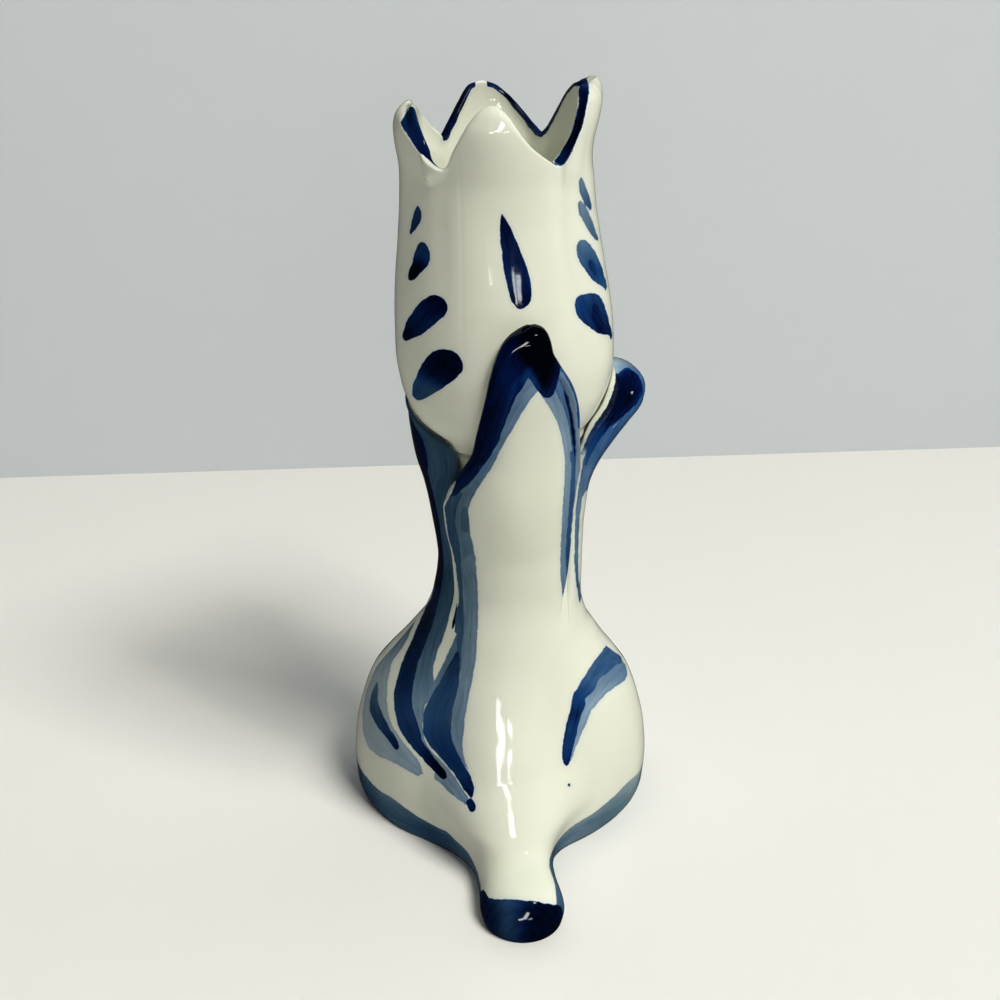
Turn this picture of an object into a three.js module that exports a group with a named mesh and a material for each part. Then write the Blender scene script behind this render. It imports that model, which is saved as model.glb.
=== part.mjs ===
// Tulip-shaped bud vase in glazed, hand-painted porcelain.
// Millimetres, +Z up. The vase stands on z = 0, the origin is under the stem,
// the toe of the foot points to -Y, and +X is to the right of the toe.
// Azimuths are in degrees from the front (-Y), growing towards +X.
import * as THREE from 'three';

// ---------------------------------------------------------------- dimensions
const TIP_TOP = 165.0;          // highest petal tip above the table
const JOINT_Z = 88.0;           // plane where the bloom is luted to the stem
const NECK_R = 7.7;             // outer radius of the narrow neck at that plane
const BORE_R = 4.7;             // bore of the neck
const CUP_BORE_R = 5.25;        // bore through the bloom's floor, a little wider
const WALL = 2.7;               // wall of the bloom
const BODY_WALL = 3.4;          // wall of the stem and foot
const FLOOR = 3.6;              // thickness of the foot's floor
const LEDGE_Z = 48.4;           // ledge that the three leaves stand on
const LEDGE_IN = 2.3;           // depth of that ledge
const GAP = 0.35;               // slip joint between a leaf and what it lies on
const TOE_A = [1.2, -16.0];     // axis of the toe, root end
const TOE_B = [4.7, -41.4];     // axis of the toe, far end
const TOE_R = 8.5;              // half width of the toe
const TOE_H = 9.6;              // height of the toe

const RAD = Math.PI / 180;
const clamp = (v, a, b) => Math.min(b, Math.max(a, v));
const lerp = (a, b, t) => a + (b - a) * t;
function ease(a, b, v) { const t = clamp((v - a) / (b - a), 0, 1); return t * t * (3 - 2 * t); }
const bell = (v, w) => Math.exp(-(v / w) * (v / w));
const wrap = (a) => ((a + 180) % 360 + 360) % 360 - 180;

// Monotone cubic through a table of stations.
function table(xs, ys) {
  const n = xs.length, d = [], m = new Array(n);
  for (let i = 0; i < n - 1; i++) d.push((ys[i + 1] - ys[i]) / (xs[i + 1] - xs[i]));
  m[0] = d[0]; m[n - 1] = d[n - 2];
  for (let k = 1; k < n - 1; k++) {
    if (d[k - 1] * d[k] <= 0) { m[k] = 0; continue; }
    const h0 = xs[k] - xs[k - 1], h1 = xs[k + 1] - xs[k];
    const w1 = 2 * h1 + h0, w2 = h1 + 2 * h0;
    m[k] = (w1 + w2) / (w1 / d[k - 1] + w2 / d[k]);
  }
  return (v) => {
    const x = clamp(v, xs[0], xs[n - 1]);
    let i = 0; while (i < n - 2 && x >= xs[i + 1]) i++;
    const h = xs[i + 1] - xs[i], t = (x - xs[i]) / h, t2 = t * t, t3 = t2 * t;
    return (2 * t3 - 3 * t2 + 1) * ys[i] + (t3 - 2 * t2 + t) * m[i] * h
      + (-2 * t3 + 3 * t2) * ys[i + 1] + (t3 - t2) * m[i + 1] * h;
  };
}
function ringTable(xs, ys) {
  const f = table([...xs.slice(-3).map((v) => v - 360), ...xs, ...xs.slice(0, 3).map((v) => v + 360)],
    [...ys.slice(-3), ...ys, ...ys.slice(0, 3)]);
  return (a) => f(wrap(a));
}

// ---------------------------------------------------------------- foot and stem
// The stem leans a little to the right, so every height has its own axis.
const axisX = table([0, 28, 50, 62, 80, 88, 100, 115, 130, 145, 165], [0, 0.1, 1.2, 1.8, 1.6, 1.4, 1.1, 0.9, 0.2, -0.35, -0.3]);
// Widest radius of the foot round its plan: two lobes at the sides, flatter at the back.
const footPlan = ringTable(
  [-180, -160, -145, -130, -117, -103, -90, -75, -60, -43, -30, -15, 0, 15, 30, 43, 60, 75, 90, 103, 117, 130, 145, 160],
  [27.1, 29.1, 32.6, 35.65, 36.45, 35.15, 32.7, 29.3, 26.4, 24.0, 23.6, 24.2, 24.8, 24.4, 24.2, 24.8, 26.6, 29.3, 32.7, 35.15, 36.45, 35.65, 32.6, 29.1]);
const lobeShare = table([0, 1.2, 3.5, 9, 16, 24, 30, 35, 39.5, 44, 49, 55, 62, 90], [.93, .965, .985, 1, .97, .875, .765, .60, .43, .275, .12, .03, 0, 0]);
const frontShare = table([0, 1.2, 3.5, 9, 16, 24, 30, 35, 39.5, 44, 49, 55, 62, 90], [.93, .97, .99, 1, .90, .70, .55, .43, .33, .23, .13, .05, 0, 0]);
const stemR = table([0, 50, 56, 62, 68, 74, 80, 84, 90], [15.9, 15.9, 15.7, 15.7, 15.8, 16.1, 16.6, 17.2, 18.4]);
const stemIn = table([48, 56, 66, 74, 79, 83, 86, 88], [LEDGE_IN, 2.5, 2.7, 3.0, 4.5, 6.9, 9.5, 18.0 - NECK_R]);

// The front slopes down into the toe.
const sweep = table([0, 5, 9, 12, 15, 17.5, 21, 25, 29, 33, 37, 41, 45, 49], [0, 0.8, 2.0, 3.4, 4.4, 4.6, 4.3, 3.6, 2.8, 1.9, 1.1, 0.45, 0.1, 0]);
const sweepAt = table([14, 40], [4.0, -3.0]);

function footR(a, z) {
  const w = ease(28, 75, Math.abs(wrap(a)));
  const g = lerp(frontShare(z), lobeShare(z), w);
  return stemR(z) + (footPlan(a) - stemR(z)) * g + sweep(z) * bell(wrap(a) - sweepAt(z), 30);
}
function toeField(x, y, z) {
  const dx = TOE_B[0] - TOE_A[0], dy = TOE_B[1] - TOE_A[1];
  const t = clamp(((x - TOE_A[0]) * dx + (y - TOE_A[1]) * dy) / (dx * dx + dy * dy), 0, 1);
  const dp = Math.hypot(x - TOE_A[0] - t * dx, y - TOE_A[1] - t * dy);
  const rr = TOE_R + 0.4 * ease(0.75, 1, t);
  const hh = TOE_H + 2.6 * (1 - ease(0, 0.8, t));
  const s = Math.pow(Math.pow(dp / rr, 2.6) + Math.pow(Math.max(z, 0) / hh, 2.6), 1 / 2.6);
  return (s - 1) * Math.min(rr, hh) * 0.95;
}
function footField(x, y, z) {
  const c = axisX(z), a = Math.atan2(x - c, -y) / RAD;
  const f = (Math.hypot(x - c, y) - footR(a, z)) * 0.85;
  const g = toeField(x, y, z) + (z < 1.2 ? (1.2 - z) * 0.44 : 0);
  const k = (7.0 + 6.0 * ease(3, 13, z)) * (1 - ease(15, 36, z)) + 0.01;
  const h = clamp(0.5 + 0.5 * (g - f) / k, 0, 1);
  return lerp(g, f, h) - k * h * (1 - h);
}
// Outermost surface point from the axis at height oz, along azimuth a and elevation el.
function cast(oz, a, el) {
  const ox = axisX(oz);
  const dx = Math.sin(a * RAD) * Math.cos(el * RAD), dy = -Math.cos(a * RAD) * Math.cos(el * RAD), dz = Math.sin(el * RAD);
  const at = (t) => footField(ox + dx * t, dy * t, clamp(oz + dz * t, 0, 92));
  let hi = 75, lo = 75;
  while (lo > 3 && at(lo) >= 0) { hi = lo; lo -= 0.75; }
  for (let i = 0; i < 34; i++) { const m = (hi + lo) / 2; if (at(m) < 0) lo = m; else hi = m; }
  return [ox + dx * lo, dy * lo, Math.max(oz + dz * lo, 0)];
}

// ---------------------------------------------------------------- closed skins
// A lathe whose rings are moved to the given points: ring j, column i -> [x, y, z].
function skin(columns, rings, closesOnItself) {
  const n = columns.length, prof = [];
  for (let j = 0; j < rings.length; j++) prof.push(new THREE.Vector2(rings[j].axis ? 0 : 10, j));
  if (closesOnItself) prof.push(new THREE.Vector2(10, 0));
  const g = new THREE.LatheGeometry(prof, n);
  const pos = g.attributes.position, P = prof.length;
  const ringPts = rings.map((r) => columns.map((a) => r.at(a)));
  for (let i = 0; i <= n; i++) {
    for (let j = 0; j < P; j++) {
      const p = ringPts[j % rings.length][i % n];
      pos.setXYZ(i * P + j, p[0], p[1], p[2]);
    }
  }
  return faceOut(g);
}
// Turns every face outwards, whichever way the grid was wound.
function faceOut(g) {
  const p = g.attributes.position, ix = g.index.array;
  const a = new THREE.Vector3(), b = new THREE.Vector3(), c = new THREE.Vector3();
  let vol = 0;
  for (let t = 0; t < ix.length; t += 3) {
    a.fromBufferAttribute(p, ix[t]); b.fromBufferAttribute(p, ix[t + 1]); c.fromBufferAttribute(p, ix[t + 2]);
    vol += a.dot(b.cross(c));
  }
  if (vol < 0) for (let t = 0; t < ix.length; t += 3) { const s = ix[t + 1]; ix[t + 1] = ix[t + 2]; ix[t + 2] = s; }
  g.computeVertexNormals();
  return g;
}
const polar = (a, r, z) => [axisX(z) + r * Math.sin(a * RAD), -r * Math.cos(a * RAD), z];

// ---------------------------------------------------------------- stem_base
// Columns are closer together round the toe.
const baseCols = [];
for (const [from, to, n] of [[-180, -60, 14], [-60, -24, 6], [-24, -6, 6], [-6, 12, 7], [12, 30, 6], [30, 60, 5], [60, 180, 14]]) {
  for (let i = 0; i < n; i++) baseCols.push(from + (to - from) * i / n);
}
const baseRings = [];
baseRings.push({ axis: true, at: () => [0, 0, 0] });
baseRings.push({ at: (a) => { const p = cast(0, a, 0); return [p[0] * 0.45, p[1] * 0.45, 0]; } });
baseRings.push({ at: (a) => cast(0, a, 0) });
for (const el of [0.0, 3.0, 6.0, 9.5, 13]) baseRings.push({ at: (a) => cast(2.4, a, el) });
for (const [oz, el] of [[5.5, 14.5], [10, 15.5], [15, 15], [20, 13.5], [25, 11], [30, 8.5], [35, 6], [39.5, 3.5], [43.5, 1.5]]) {
  baseRings.push({ at: (a) => cast(oz, a, el) });
}
baseRings.push({ at: (a) => polar(a, footR(a, LEDGE_Z), LEDGE_Z) });
baseRings.push({ at: (a) => polar(a, footR(a, LEDGE_Z) - LEDGE_IN, LEDGE_Z) });
for (const z of [50.5, 53, 58, 66, 74, 79, 83, 86]) baseRings.push({ at: (a) => polar(a, footR(a, z) - stemIn(z), z) });
baseRings.push({ at: (a) => polar(a, NECK_R, JOINT_Z) });
// hollow, from the neck down to the floor
baseRings.push({ at: (a) => polar(a, BORE_R, JOINT_Z) });
baseRings.push({ at: (a) => polar(a, BORE_R, 83) });
for (const z of [78, 72, 62, 52]) baseRings.push({ at: (a) => polar(a, footR(a, z) - stemIn(z) - BODY_WALL, z) });
for (const z of [45, 38, 31, 23, 14, 7.5]) baseRings.push({ at: (a) => polar(a, (footR(a, z) - BODY_WALL) * (z < 10 ? 0.94 : z > 36 ? 0.93 : 0.98), z) });
baseRings.push({ at: (a) => polar(a, (footR(a, 7) - BODY_WALL) * 0.78, FLOOR) });
baseRings.push({ axis: true, at: () => [0, 0, FLOOR] });

// ---------------------------------------------------------------- bloom
// Petal tips and notches round the rim, alternating: [azimuth, height].
const RIM = [[-170, 161.0, 1], [-139, 151.0, 0], [-70, 161.2, 1], [-34, 151.7, 0], [-4, 163.6, 1], [38, 151.9, 0], [78, TIP_TOP, 1], [150, 151.4, 0]];
function rimZ(a) {
  let v = wrap(a); if (v < -170) v += 360;
  for (let k = 0; k < RIM.length; k++) {
    const p = RIM[k], q = k + 1 < RIM.length ? RIM[k + 1] : [RIM[0][0] + 360, RIM[0][1], RIM[0][2]];
    if (v >= p[0] && v <= q[0]) {
      const t = (v - p[0]) / (q[0] - p[0]);
      const tip = p[2] ? p : q, low = p[2] ? q : p, u = p[2] ? t : 1 - t;   // u: 0 at the tip, 1 in the notch
      const h = (Math.sqrt(u * u + 0.05) - Math.sqrt(0.05)) / (Math.sqrt(1.05) - Math.sqrt(0.05));
      return lerp(tip[1], low[1], h);
    }
  }
  return RIM[0][1];
}
const bloomR = table(
  [88.0, 88.6, 89.9, 92.5, 96.5, 101, 106, 112, 118, 124, 130, 136, 142, 148, 153, 158, 162, 166],
  [NECK_R, 8.6, 10.4, 13.6, 17.0, 19.7, 21.3, 21.95, 21.8, 21.3, 20.5, 19.7, 19.1, 18.95, 19.3, 19.5, 19.2, 18.6]);
// Petals bend out below their tips: front, back, right and left.
const FLARE = [
  [-3, 22, table([143, 147, 152, 156, 159, 161, 163.5], [0, 0.1, 0.6, 1.15, 1.4, 1.15, 0.6])],
  [176, 26, table([146, 150, 155, 160, 163], [0, 0.2, 0.8, 1.5, 1.8])],
  [86, 34, table([138, 143, 147, 150, 152, 154, 156, 158.5, 161, 163, 166], [0, -0.2, -0.55, -1.0, -1.2, -1.1, -0.8, -0.3, 0.25, 0.6, 0.9])],
  [-86, 30, table([146, 150, 152, 154, 156, 158, 161, 166], [0, 0.12, 0.30, 0.46, 0.50, 0.50, 0.60, 0.9])],
];
const flare = (a, z) => FLARE.reduce((s, [az, w, f]) => s + bell(wrap(a - az), w) * f(z), 0);
// Between the leaves the underside is full.
const underR = table([88.0, 88.25, 88.6, 90, 92, 94, 96.5], [NECK_R, 9.0, 14.6, 15.1, 15.55, 15.9, 16.9]);
const fullAt = (a) => Math.max(ease(-52, -44, a) * (1 - ease(-18, -8, a)), ease(38, 46, a) * (1 - ease(70, 78, a)));
// Shallow flutes run down from the notches, and each petal swells between them.
function flute(a, z) {
  let s = 0;
  for (const [az, , tip] of RIM) if (!tip) { const d = wrap(a - az) / 7; s += Math.exp(-d * d); }
  return -0.55 * s * ease(112, 140, z) + 0.9 * Math.exp(-Math.pow(wrap(a + 43) / 7, 2)) * ease(143, 150, z);
}
const bloomOut = (a, z) => lerp(bloomR(z), Math.max(bloomR(z), underR(z)), fullAt(wrap(a))) + flute(a, z) + flare(a, z);
const bloomCols = [];
for (let k = 0; k < RIM.length; k++) {
  const a0 = RIM[k][0], a1 = k + 1 < RIM.length ? RIM[k + 1][0] : RIM[0][0] + 360;
  const n = Math.max(5, Math.round((a1 - a0) / 6.4));
  for (let i = 0; i < n; i++) bloomCols.push(a0 + (a1 - a0) * i / n);
}
const bloomRings = [];
const upper = (t) => (a) => lerp(141, rimZ(a), t);
for (const z of [88, 88.6, 90, 92.5, 96.5, 101, 106, 112, 118, 124, 130, 136, 141]) bloomRings.push({ at: (a) => polar(a, bloomOut(a, z), z) });
for (const t of [0.3, 0.6, 0.85]) bloomRings.push({ at: (a) => { const z = upper(t)(a); return polar(a, bloomOut(a, z), z); } });
bloomRings.push({ at: (a) => { const z = rimZ(a) - 0.9; return polar(a, bloomOut(a, z) - 0.15, z); } });
bloomRings.push({ at: (a) => { const z = rimZ(a); return polar(a, bloomOut(a, z) - WALL * 0.32, z); } });
bloomRings.push({ at: (a) => { const z = rimZ(a) - 0.1; return polar(a, bloomOut(a, z) - WALL * 0.72, z); } });
bloomRings.push({ at: (a) => { const z = rimZ(a) - 1.1; return polar(a, bloomOut(a, z) - WALL, z); } });
for (const t of [0.75, 0.4, 0.05]) bloomRings.push({ at: (a) => { const z = upper(t)(a); return polar(a, bloomOut(a, z) - WALL, z); } });
for (const [z, w] of [[134, 2.8], [127, 2.9], [119, 3.0], [111, 3.1], [104, 3.3], [98, 4.2], [94, 6.0], [91, 6.9]]) {
  bloomRings.push({ at: (a) => polar(a, Math.max(CUP_BORE_R, bloomR(z) - w), z) });
}
bloomRings.push({ at: (a) => polar(a, CUP_BORE_R, JOINT_Z) });

// ---------------------------------------------------------------- leaves
// A leaf is a box bent round the vase: across u from its left to its right margin,
// up v from its foot to its tip, and from its back (on the stem and bloom) to its face.
const leafBack = table(
  [48, 56, 66, 74, 79, 84, 88, 92, 96.5, 101, 106, 112, 118, 126],
  [0, 0, 0, 0, 13.9, 14.7, 15.5, 16.4, 17.6, 20.15, 21.75, 22.4, 22.3, 21.8]);
function backR(a, z) {
  const onStem = footR(a, z) - stemIn(z) + GAP;
  const w = ease(74, 80, z);
  return lerp(onStem, z < 79 ? 13.9 : leafBack(z), w);
}
function leaf({ zs, left, right, face, edge, nu }) {
  const fl = table(left[0], left[1]), fr = table(right[0], right[1]);
  const ff = table(face[0], face[1]), fe = table(edge[0], edge[1]);
  const nv = zs.length - 1;
  const g = new THREE.BoxGeometry(2, nv, 2, nu, nv, 1);
  const p = g.attributes.position;
  for (let i = 0; i < p.count; i++) {
    const u = p.getX(i), v = Math.round(p.getY(i) + nv / 2), out = p.getZ(i) > 0;
    const z = zs[v];
    // columns gather at the margins so that they round off
    const s = Math.sign(u) * (1 - Math.pow(1 - Math.abs(u), 1.5));
    const a = lerp(fl(z), fr(z), 0.5 + 0.5 * s);
    const b = backR(a, z);
    const body = ff(z) - (ff(z) - fe(z)) * Math.pow(Math.abs(s), 2.2);
    const r = out ? Math.max(b + 0.9, body) - (Math.abs(s) > 0.995 ? 0.45 : 0) : b;
    const q = polar(a, r, z);
    p.setXYZ(i, q[0], q[1], q[2]);
  }
  return faceOut(g);
}
const FOOT_Z = LEDGE_Z + GAP;
const leafZs = (top) => {
  const zs = [FOOT_Z, 53, 58, 63, 68, 73, 77, 81, 85, 89, 93, 97, 101];
  for (const t of [0.25, 0.5, 0.7, 0.85, 0.95, 1]) zs.push(lerp(101, top, t));
  return zs;
};
// Front leaf: a broad panel that rises over the bloom to a rounded tip.
const frontLeaf = leaf({
  zs: [FOOT_Z, 53, 58, 63, 68, 73, 78, 82, 86, 90, 94, 98, 102, 106, 110, 114, 118, 120.5, 122.4, 123.6, 124.3],
  nu: 9,
  left: [[48, 56.9, 60.6, 64.5, 68.9, 72.1, 76.5, 81.9, 85.5, 89.8, 96.1, 101.6, 109.1, 113.8, 117, 119.2, 121, 122.3, 123.2, 123.8, 124.3],
    [-40, -43.6, -44.8, -45.8, -46.5, -48.2, -49.8, -48.3, -41.5, -32.9, -20.3, -15, -9.7, -7.2, -5.0, -2.9, -0.4, 2.6, 6.0, 8.6, 11.0]],
  right: [[48, 57.3, 63.3, 67.8, 74.8, 81.9, 89.3, 94.6, 100.3, 106.1, 111.3, 116.5, 118.7, 121, 122.3, 123.2, 123.8, 124.3],
    [40, 47.3, 52, 53.6, 54.4, 54.6, 51.4, 46.9, 41.7, 38, 33, 25.5, 22.9, 21.9, 21.0, 19.6, 18.0, 16.0]],
  face: [[48, 53, 58, 63, 70, 76, 82, 86, 90, 94, 98, 104, 110, 116, 120, 122.5, 124.3],
    [18.4, 17.6, 16.9, 16.9, 17.7, 19.2, 20.7, 21.5, 22.1, 22.6, 23.2, 24.1, 25.0, 25.6, 25.7, 25.3, 24.2]],
  edge: [[48, 58, 66, 74, 80, 86, 92, 98, 104, 112, 120, 124.3],
    [17.4, 16.3, 16.4, 16.8, 17.4, 18.4, 19.7, 21.6, 23.3, 24.5, 24.7, 23.7]],
});
// Right leaf: leans away from the bloom and ends in a thick rounded tip.
const rightLeaf = leaf({
  zs: [FOOT_Z, 53, 58, 63, 68, 73, 78, 82, 85, 88.5, 92, 95.5, 99, 101.8, 104, 105.6, 106.6],
  nu: 9,
  left: [[48, 56, 64, 72, 80, 85.6, 91.2, 96.9, 101.5, 104.4, 106.6], [52, 55.5, 57, 57.6, 57.8, 58.5, 62, 69, 77, 84, 92]],
  right: [[48, 58, 70, 80, 87.5, 94, 99.7, 103.4, 105.6, 106.6], [160, 164, 166, 164, 156, 146, 135, 126, 119, 112]],
  face: [[48, 53, 58, 63, 72, 77, 81.9, 84.7, 88.4, 91.2, 94, 96.9, 100.4, 102.7, 104.4, 105.7, 106.6],
    [18.0, 16.7, 16.0, 15.9, 16.1, 16.6, 17.3, 18.2, 20.0, 21.8, 23.8, 26.1, 28.7, 29.1, 28.4, 26.9, 24.8]],
  edge: [[48, 56, 66, 76, 83.8, 89.4, 95, 100.6, 104.4, 106.6], [17.6, 16.0, 15.8, 16.2, 17.3, 18.8, 21.6, 24.9, 25.6, 24.1]],
});
// Left leaf: rises behind the bloom on the other side; its front margin lies close to the bloom.
const leftLeaf = leaf({
  zs: [FOOT_Z, 53, 58, 63, 68, 73, 77, 80, 83, 86, 89.5, 92.5, 95.3, 96.6, 97.4, 98.2, 98.9, 99.6, 100.4, 101.6, 103.4, 105.5, 107, 108],
  nu: 12,
  left: [[48, 58, 70, 80, 88, 95, 101, 105, 107, 108], [-168, -172, -174, -174, -172, -168, -162, -156, -151, -147]],
  right: [[48, 54, 60, 66, 72, 77, 80, 82.5, 85, 87, 89.5, 92.5, 95.3, 96.6, 97.6, 98.4, 99.2, 100, 101, 103, 105.5, 108],
    [-52, -50.8, -49.4, -49.6, -51.0, -52.0, -51.0, -50.0, -45.5, -41.0, -37.0, -36.2, -38.0, -45.0, -54.5, -64, -74, -86, -98, -108, -118, -133]],
  face: [[48, 53, 58, 64, 68, 73, 79, 84, 87, 91.6, 96.5, 100, 102, 104, 106, 107.3, 108],
    [18.0, 16.8, 16.0, 15.7, 15.8, 16.5, 17.6, 18.6, 19.3, 20.0, 20.5, 21.0, 22.0, 22.8, 23.5, 23.6, 23.3]],
  edge: [[48, 56, 66, 76, 84, 90, 96, 102, 106, 108], [17.4, 15.9, 15.5, 16.0, 17.0, 18.0, 19.3, 21.6, 22.9, 23.1]],
});

// ---------------------------------------------------------------- the vase
const group = new THREE.Group();
const porcelain = (color) => new THREE.MeshStandardMaterial({ color, roughness: 0.12, metalness: 0 });
function add(name, geometry, color) {
  const mesh = new THREE.Mesh(geometry, porcelain(color));
  mesh.name = name;
  group.add(mesh);
}
add('stem_base', skin(baseCols, baseRings, false), 0xdfe0d4);
add('bloom', skin(bloomCols, bloomRings, true), 0xe4e4d8);
add('front_leaf', frontLeaf, 0x7f8ea8);
add('right_leaf', rightLeaf, 0x2f4674);
add('left_leaf', leftLeaf, 0x2a3f5e);

export default group;
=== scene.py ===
import bpy
import math
import numpy as np
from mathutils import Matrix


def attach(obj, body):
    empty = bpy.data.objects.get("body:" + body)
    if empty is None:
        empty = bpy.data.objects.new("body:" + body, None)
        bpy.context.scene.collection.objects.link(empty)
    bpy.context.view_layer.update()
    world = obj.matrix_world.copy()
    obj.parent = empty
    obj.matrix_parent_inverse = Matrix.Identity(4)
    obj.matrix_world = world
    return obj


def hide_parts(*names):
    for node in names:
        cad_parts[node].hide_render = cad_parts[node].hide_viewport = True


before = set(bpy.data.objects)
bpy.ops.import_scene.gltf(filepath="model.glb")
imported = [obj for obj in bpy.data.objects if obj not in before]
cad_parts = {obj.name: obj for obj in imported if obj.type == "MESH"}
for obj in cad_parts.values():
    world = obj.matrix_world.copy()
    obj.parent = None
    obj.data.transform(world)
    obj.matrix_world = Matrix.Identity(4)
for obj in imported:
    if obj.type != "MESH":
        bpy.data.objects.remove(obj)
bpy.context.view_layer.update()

# ------------------------------------------------------------------ camera
# The lens and place that the outlines of the vase were measured with.
PX = 1500.0                       # focal length in pixels of the 1000 x 1000 frame
PITCH = math.radians(26.1)
CAM_Y, CAM_Z = -286.16, 217.266   # mm
cam_data = bpy.data.cameras.new("camera")
cam_data.sensor_fit = "HORIZONTAL"
cam_data.sensor_width = 36.0
cam_data.lens = 36.0 * PX / 1000.0
cam_data.clip_start = 0.01
cam_data.clip_end = 50.0
cam = bpy.data.objects.new("camera", cam_data)
bpy.context.scene.collection.objects.link(cam)
cam.location = (0.0, CAM_Y / 1000.0, CAM_Z / 1000.0)
cam.rotation_euler = (math.pi / 2 - PITCH, 0.0, 0.0)
bpy.context.scene.camera = cam


def to_px(p):
    """Millimetre points to pixels of the 1000 x 1000 frame."""
    sp, cp = math.sin(PITCH), math.cos(PITCH)
    x, y, z = p[..., 0], p[..., 1] - CAM_Y, p[..., 2] - CAM_Z
    up = y * sp + z * cp
    depth = y * cp - z * sp
    return np.stack([500 + PX * x / depth, 500 - PX * up / depth], -1)


# ------------------------------------------------------------------ curves and helpers
D = math.pi / 180


def interp(xs, ys, x):
    """Monotone cubic through a table of stations."""
    xs = np.asarray(xs, float)
    ys = np.asarray(ys, float)
    x = np.clip(np.asarray(x, float), xs[0], xs[-1])
    n = len(xs)
    i = np.clip(np.searchsorted(xs, x, side="right") - 1, 0, n - 2)
    d = np.diff(ys) / np.diff(xs)
    m = np.empty(n)
    m[0], m[-1] = d[0], d[-1]
    for k in range(1, n - 1):
        if d[k - 1] * d[k] <= 0:
            m[k] = 0
        else:
            h0, h1 = xs[k] - xs[k - 1], xs[k + 1] - xs[k]
            w1, w2 = 2 * h1 + h0, h1 + 2 * h0
            m[k] = (w1 + w2) / (w1 / d[k - 1] + w2 / d[k])
    h = xs[i + 1] - xs[i]
    t = (x - xs[i]) / h
    return ((2 * t**3 - 3 * t**2 + 1) * ys[i] + (t**3 - 2 * t**2 + t) * m[i] * h
            + (-2 * t**3 + 3 * t**2) * ys[i + 1] + (t**3 - t**2) * m[i + 1] * h)


def ring(xs, ys, x):
    """The same, periodic over 360 degrees."""
    X = [v - 360 for v in xs[-3:]] + list(xs) + [v + 360 for v in xs[:3]]
    Y = list(ys[-3:]) + list(ys) + list(ys[:3])
    return interp(X, Y, wrap(x))


def wrap(a):
    return (np.asarray(a, float) + 180) % 360 - 180


def ease(a, b, x):
    t = np.clip((np.asarray(x, float) - a) / (b - a), 0, 1)
    return t * t * (3 - 2 * t)


def lerp(a, b, t):
    return a + (b - a) * t


def bell(x, w):
    return np.exp(-(x / w) ** 2)


# ------------------------------------------------------------------ the vase's surfaces, in mm
def axis_x(z):
    return interp([0, 28, 50, 62, 80, 88, 100, 115, 130, 145, 165],
                  [0, 0.1, 1.2, 1.8, 1.6, 1.4, 1.1, 0.9, 0.2, -0.35, -0.3], z)


PLAN_A = [-180, -160, -145, -130, -117, -103, -90, -75, -60, -43, -30, -15, 0, 15, 30, 43, 60, 75, 90, 103, 117, 130, 145, 160]
PLAN_R = [27, 29, 32.5, 35.5, 36.3, 35.0, 32.6, 29.2, 26.4, 24.0, 23.6, 24.2, 24.8, 24.4, 24.2, 24.8, 26.6, 29.2, 32.6, 35.0, 36.3, 35.5, 32.5, 29]
SHARE_Z = [0, 1.2, 3.5, 9, 16, 24, 30, 35, 39.5, 44, 49, 55, 62, 90]
SHARE_LOBE = [.93, .965, .985, 1, .97, .875, .765, .60, .43, .275, .12, .03, 0, 0]
SHARE_FRONT = [.93, .97, .99, 1, .90, .70, .55, .43, .33, .23, .13, .05, 0, 0]
STEM_Z = [0, 50, 56, 62, 68, 74, 80, 84, 90]
STEM_R = [15.9, 15.9, 15.7, 15.7, 15.8, 16.1, 16.6, 17.2, 18.4]
NECK_R, BORE_R = 7.7, 4.7


def foot_r(a, z):
    w = ease(28, 75, np.abs(wrap(a)))
    g = (1 - w) * interp(SHARE_Z, SHARE_FRONT, z) + w * interp(SHARE_Z, SHARE_LOBE, z)
    n = interp(STEM_Z, STEM_R, z)
    # the front slopes down into the toe
    sweep = interp([0, 5, 9, 12, 15, 17.5, 21, 25, 29, 33, 37, 41, 45, 49], [0, 0.8, 2.0, 3.4, 4.4, 4.6, 4.3, 3.6, 2.8, 1.9, 1.1, 0.45, 0.1, 0], z)
    return n + (ring(PLAN_A, PLAN_R, a) - n) * g + sweep * bell(wrap(a) - interp([14, 40], [4.0, -3.0], z), 30.0)


TOE_A, TOE_B, TOE_R, TOE_H = (1.2, -16.0), (4.7, -41.2), 8.5, 9.6


def toe_field(x, y, z):
    dx, dy = TOE_B[0] - TOE_A[0], TOE_B[1] - TOE_A[1]
    t = np.clip(((x - TOE_A[0]) * dx + (y - TOE_A[1]) * dy) / (dx * dx + dy * dy), 0, 1)
    dp = np.hypot(x - TOE_A[0] - t * dx, y - TOE_A[1] - t * dy)
    rr = TOE_R + 0.4 * ease(0.75, 1, t)
    hh = TOE_H + 2.6 * (1 - ease(0, 0.8, t))
    s = ((dp / rr) ** 2.6 + (np.maximum(z, 0) / hh) ** 2.6) ** (1 / 2.6)
    return (s - 1) * np.minimum(rr, hh) * 0.95


def foot_field(x, y, z):
    c = axis_x(z)
    f = (np.hypot(x - c, y) - foot_r(np.degrees(np.arctan2(x - c, -y)), z)) * 0.85
    g = toe_field(x, y, z) + np.where(z < 1.2, (1.2 - z) * 0.44, 0)
    k = (7.0 + 6.0 * ease(3, 13, z)) * (1 - ease(15, 36, z)) + 0.01
    h = np.clip(0.5 + 0.5 * (g - f) / k, 0, 1)
    return lerp(g, f, h) - k * h * (1 - h)


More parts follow.
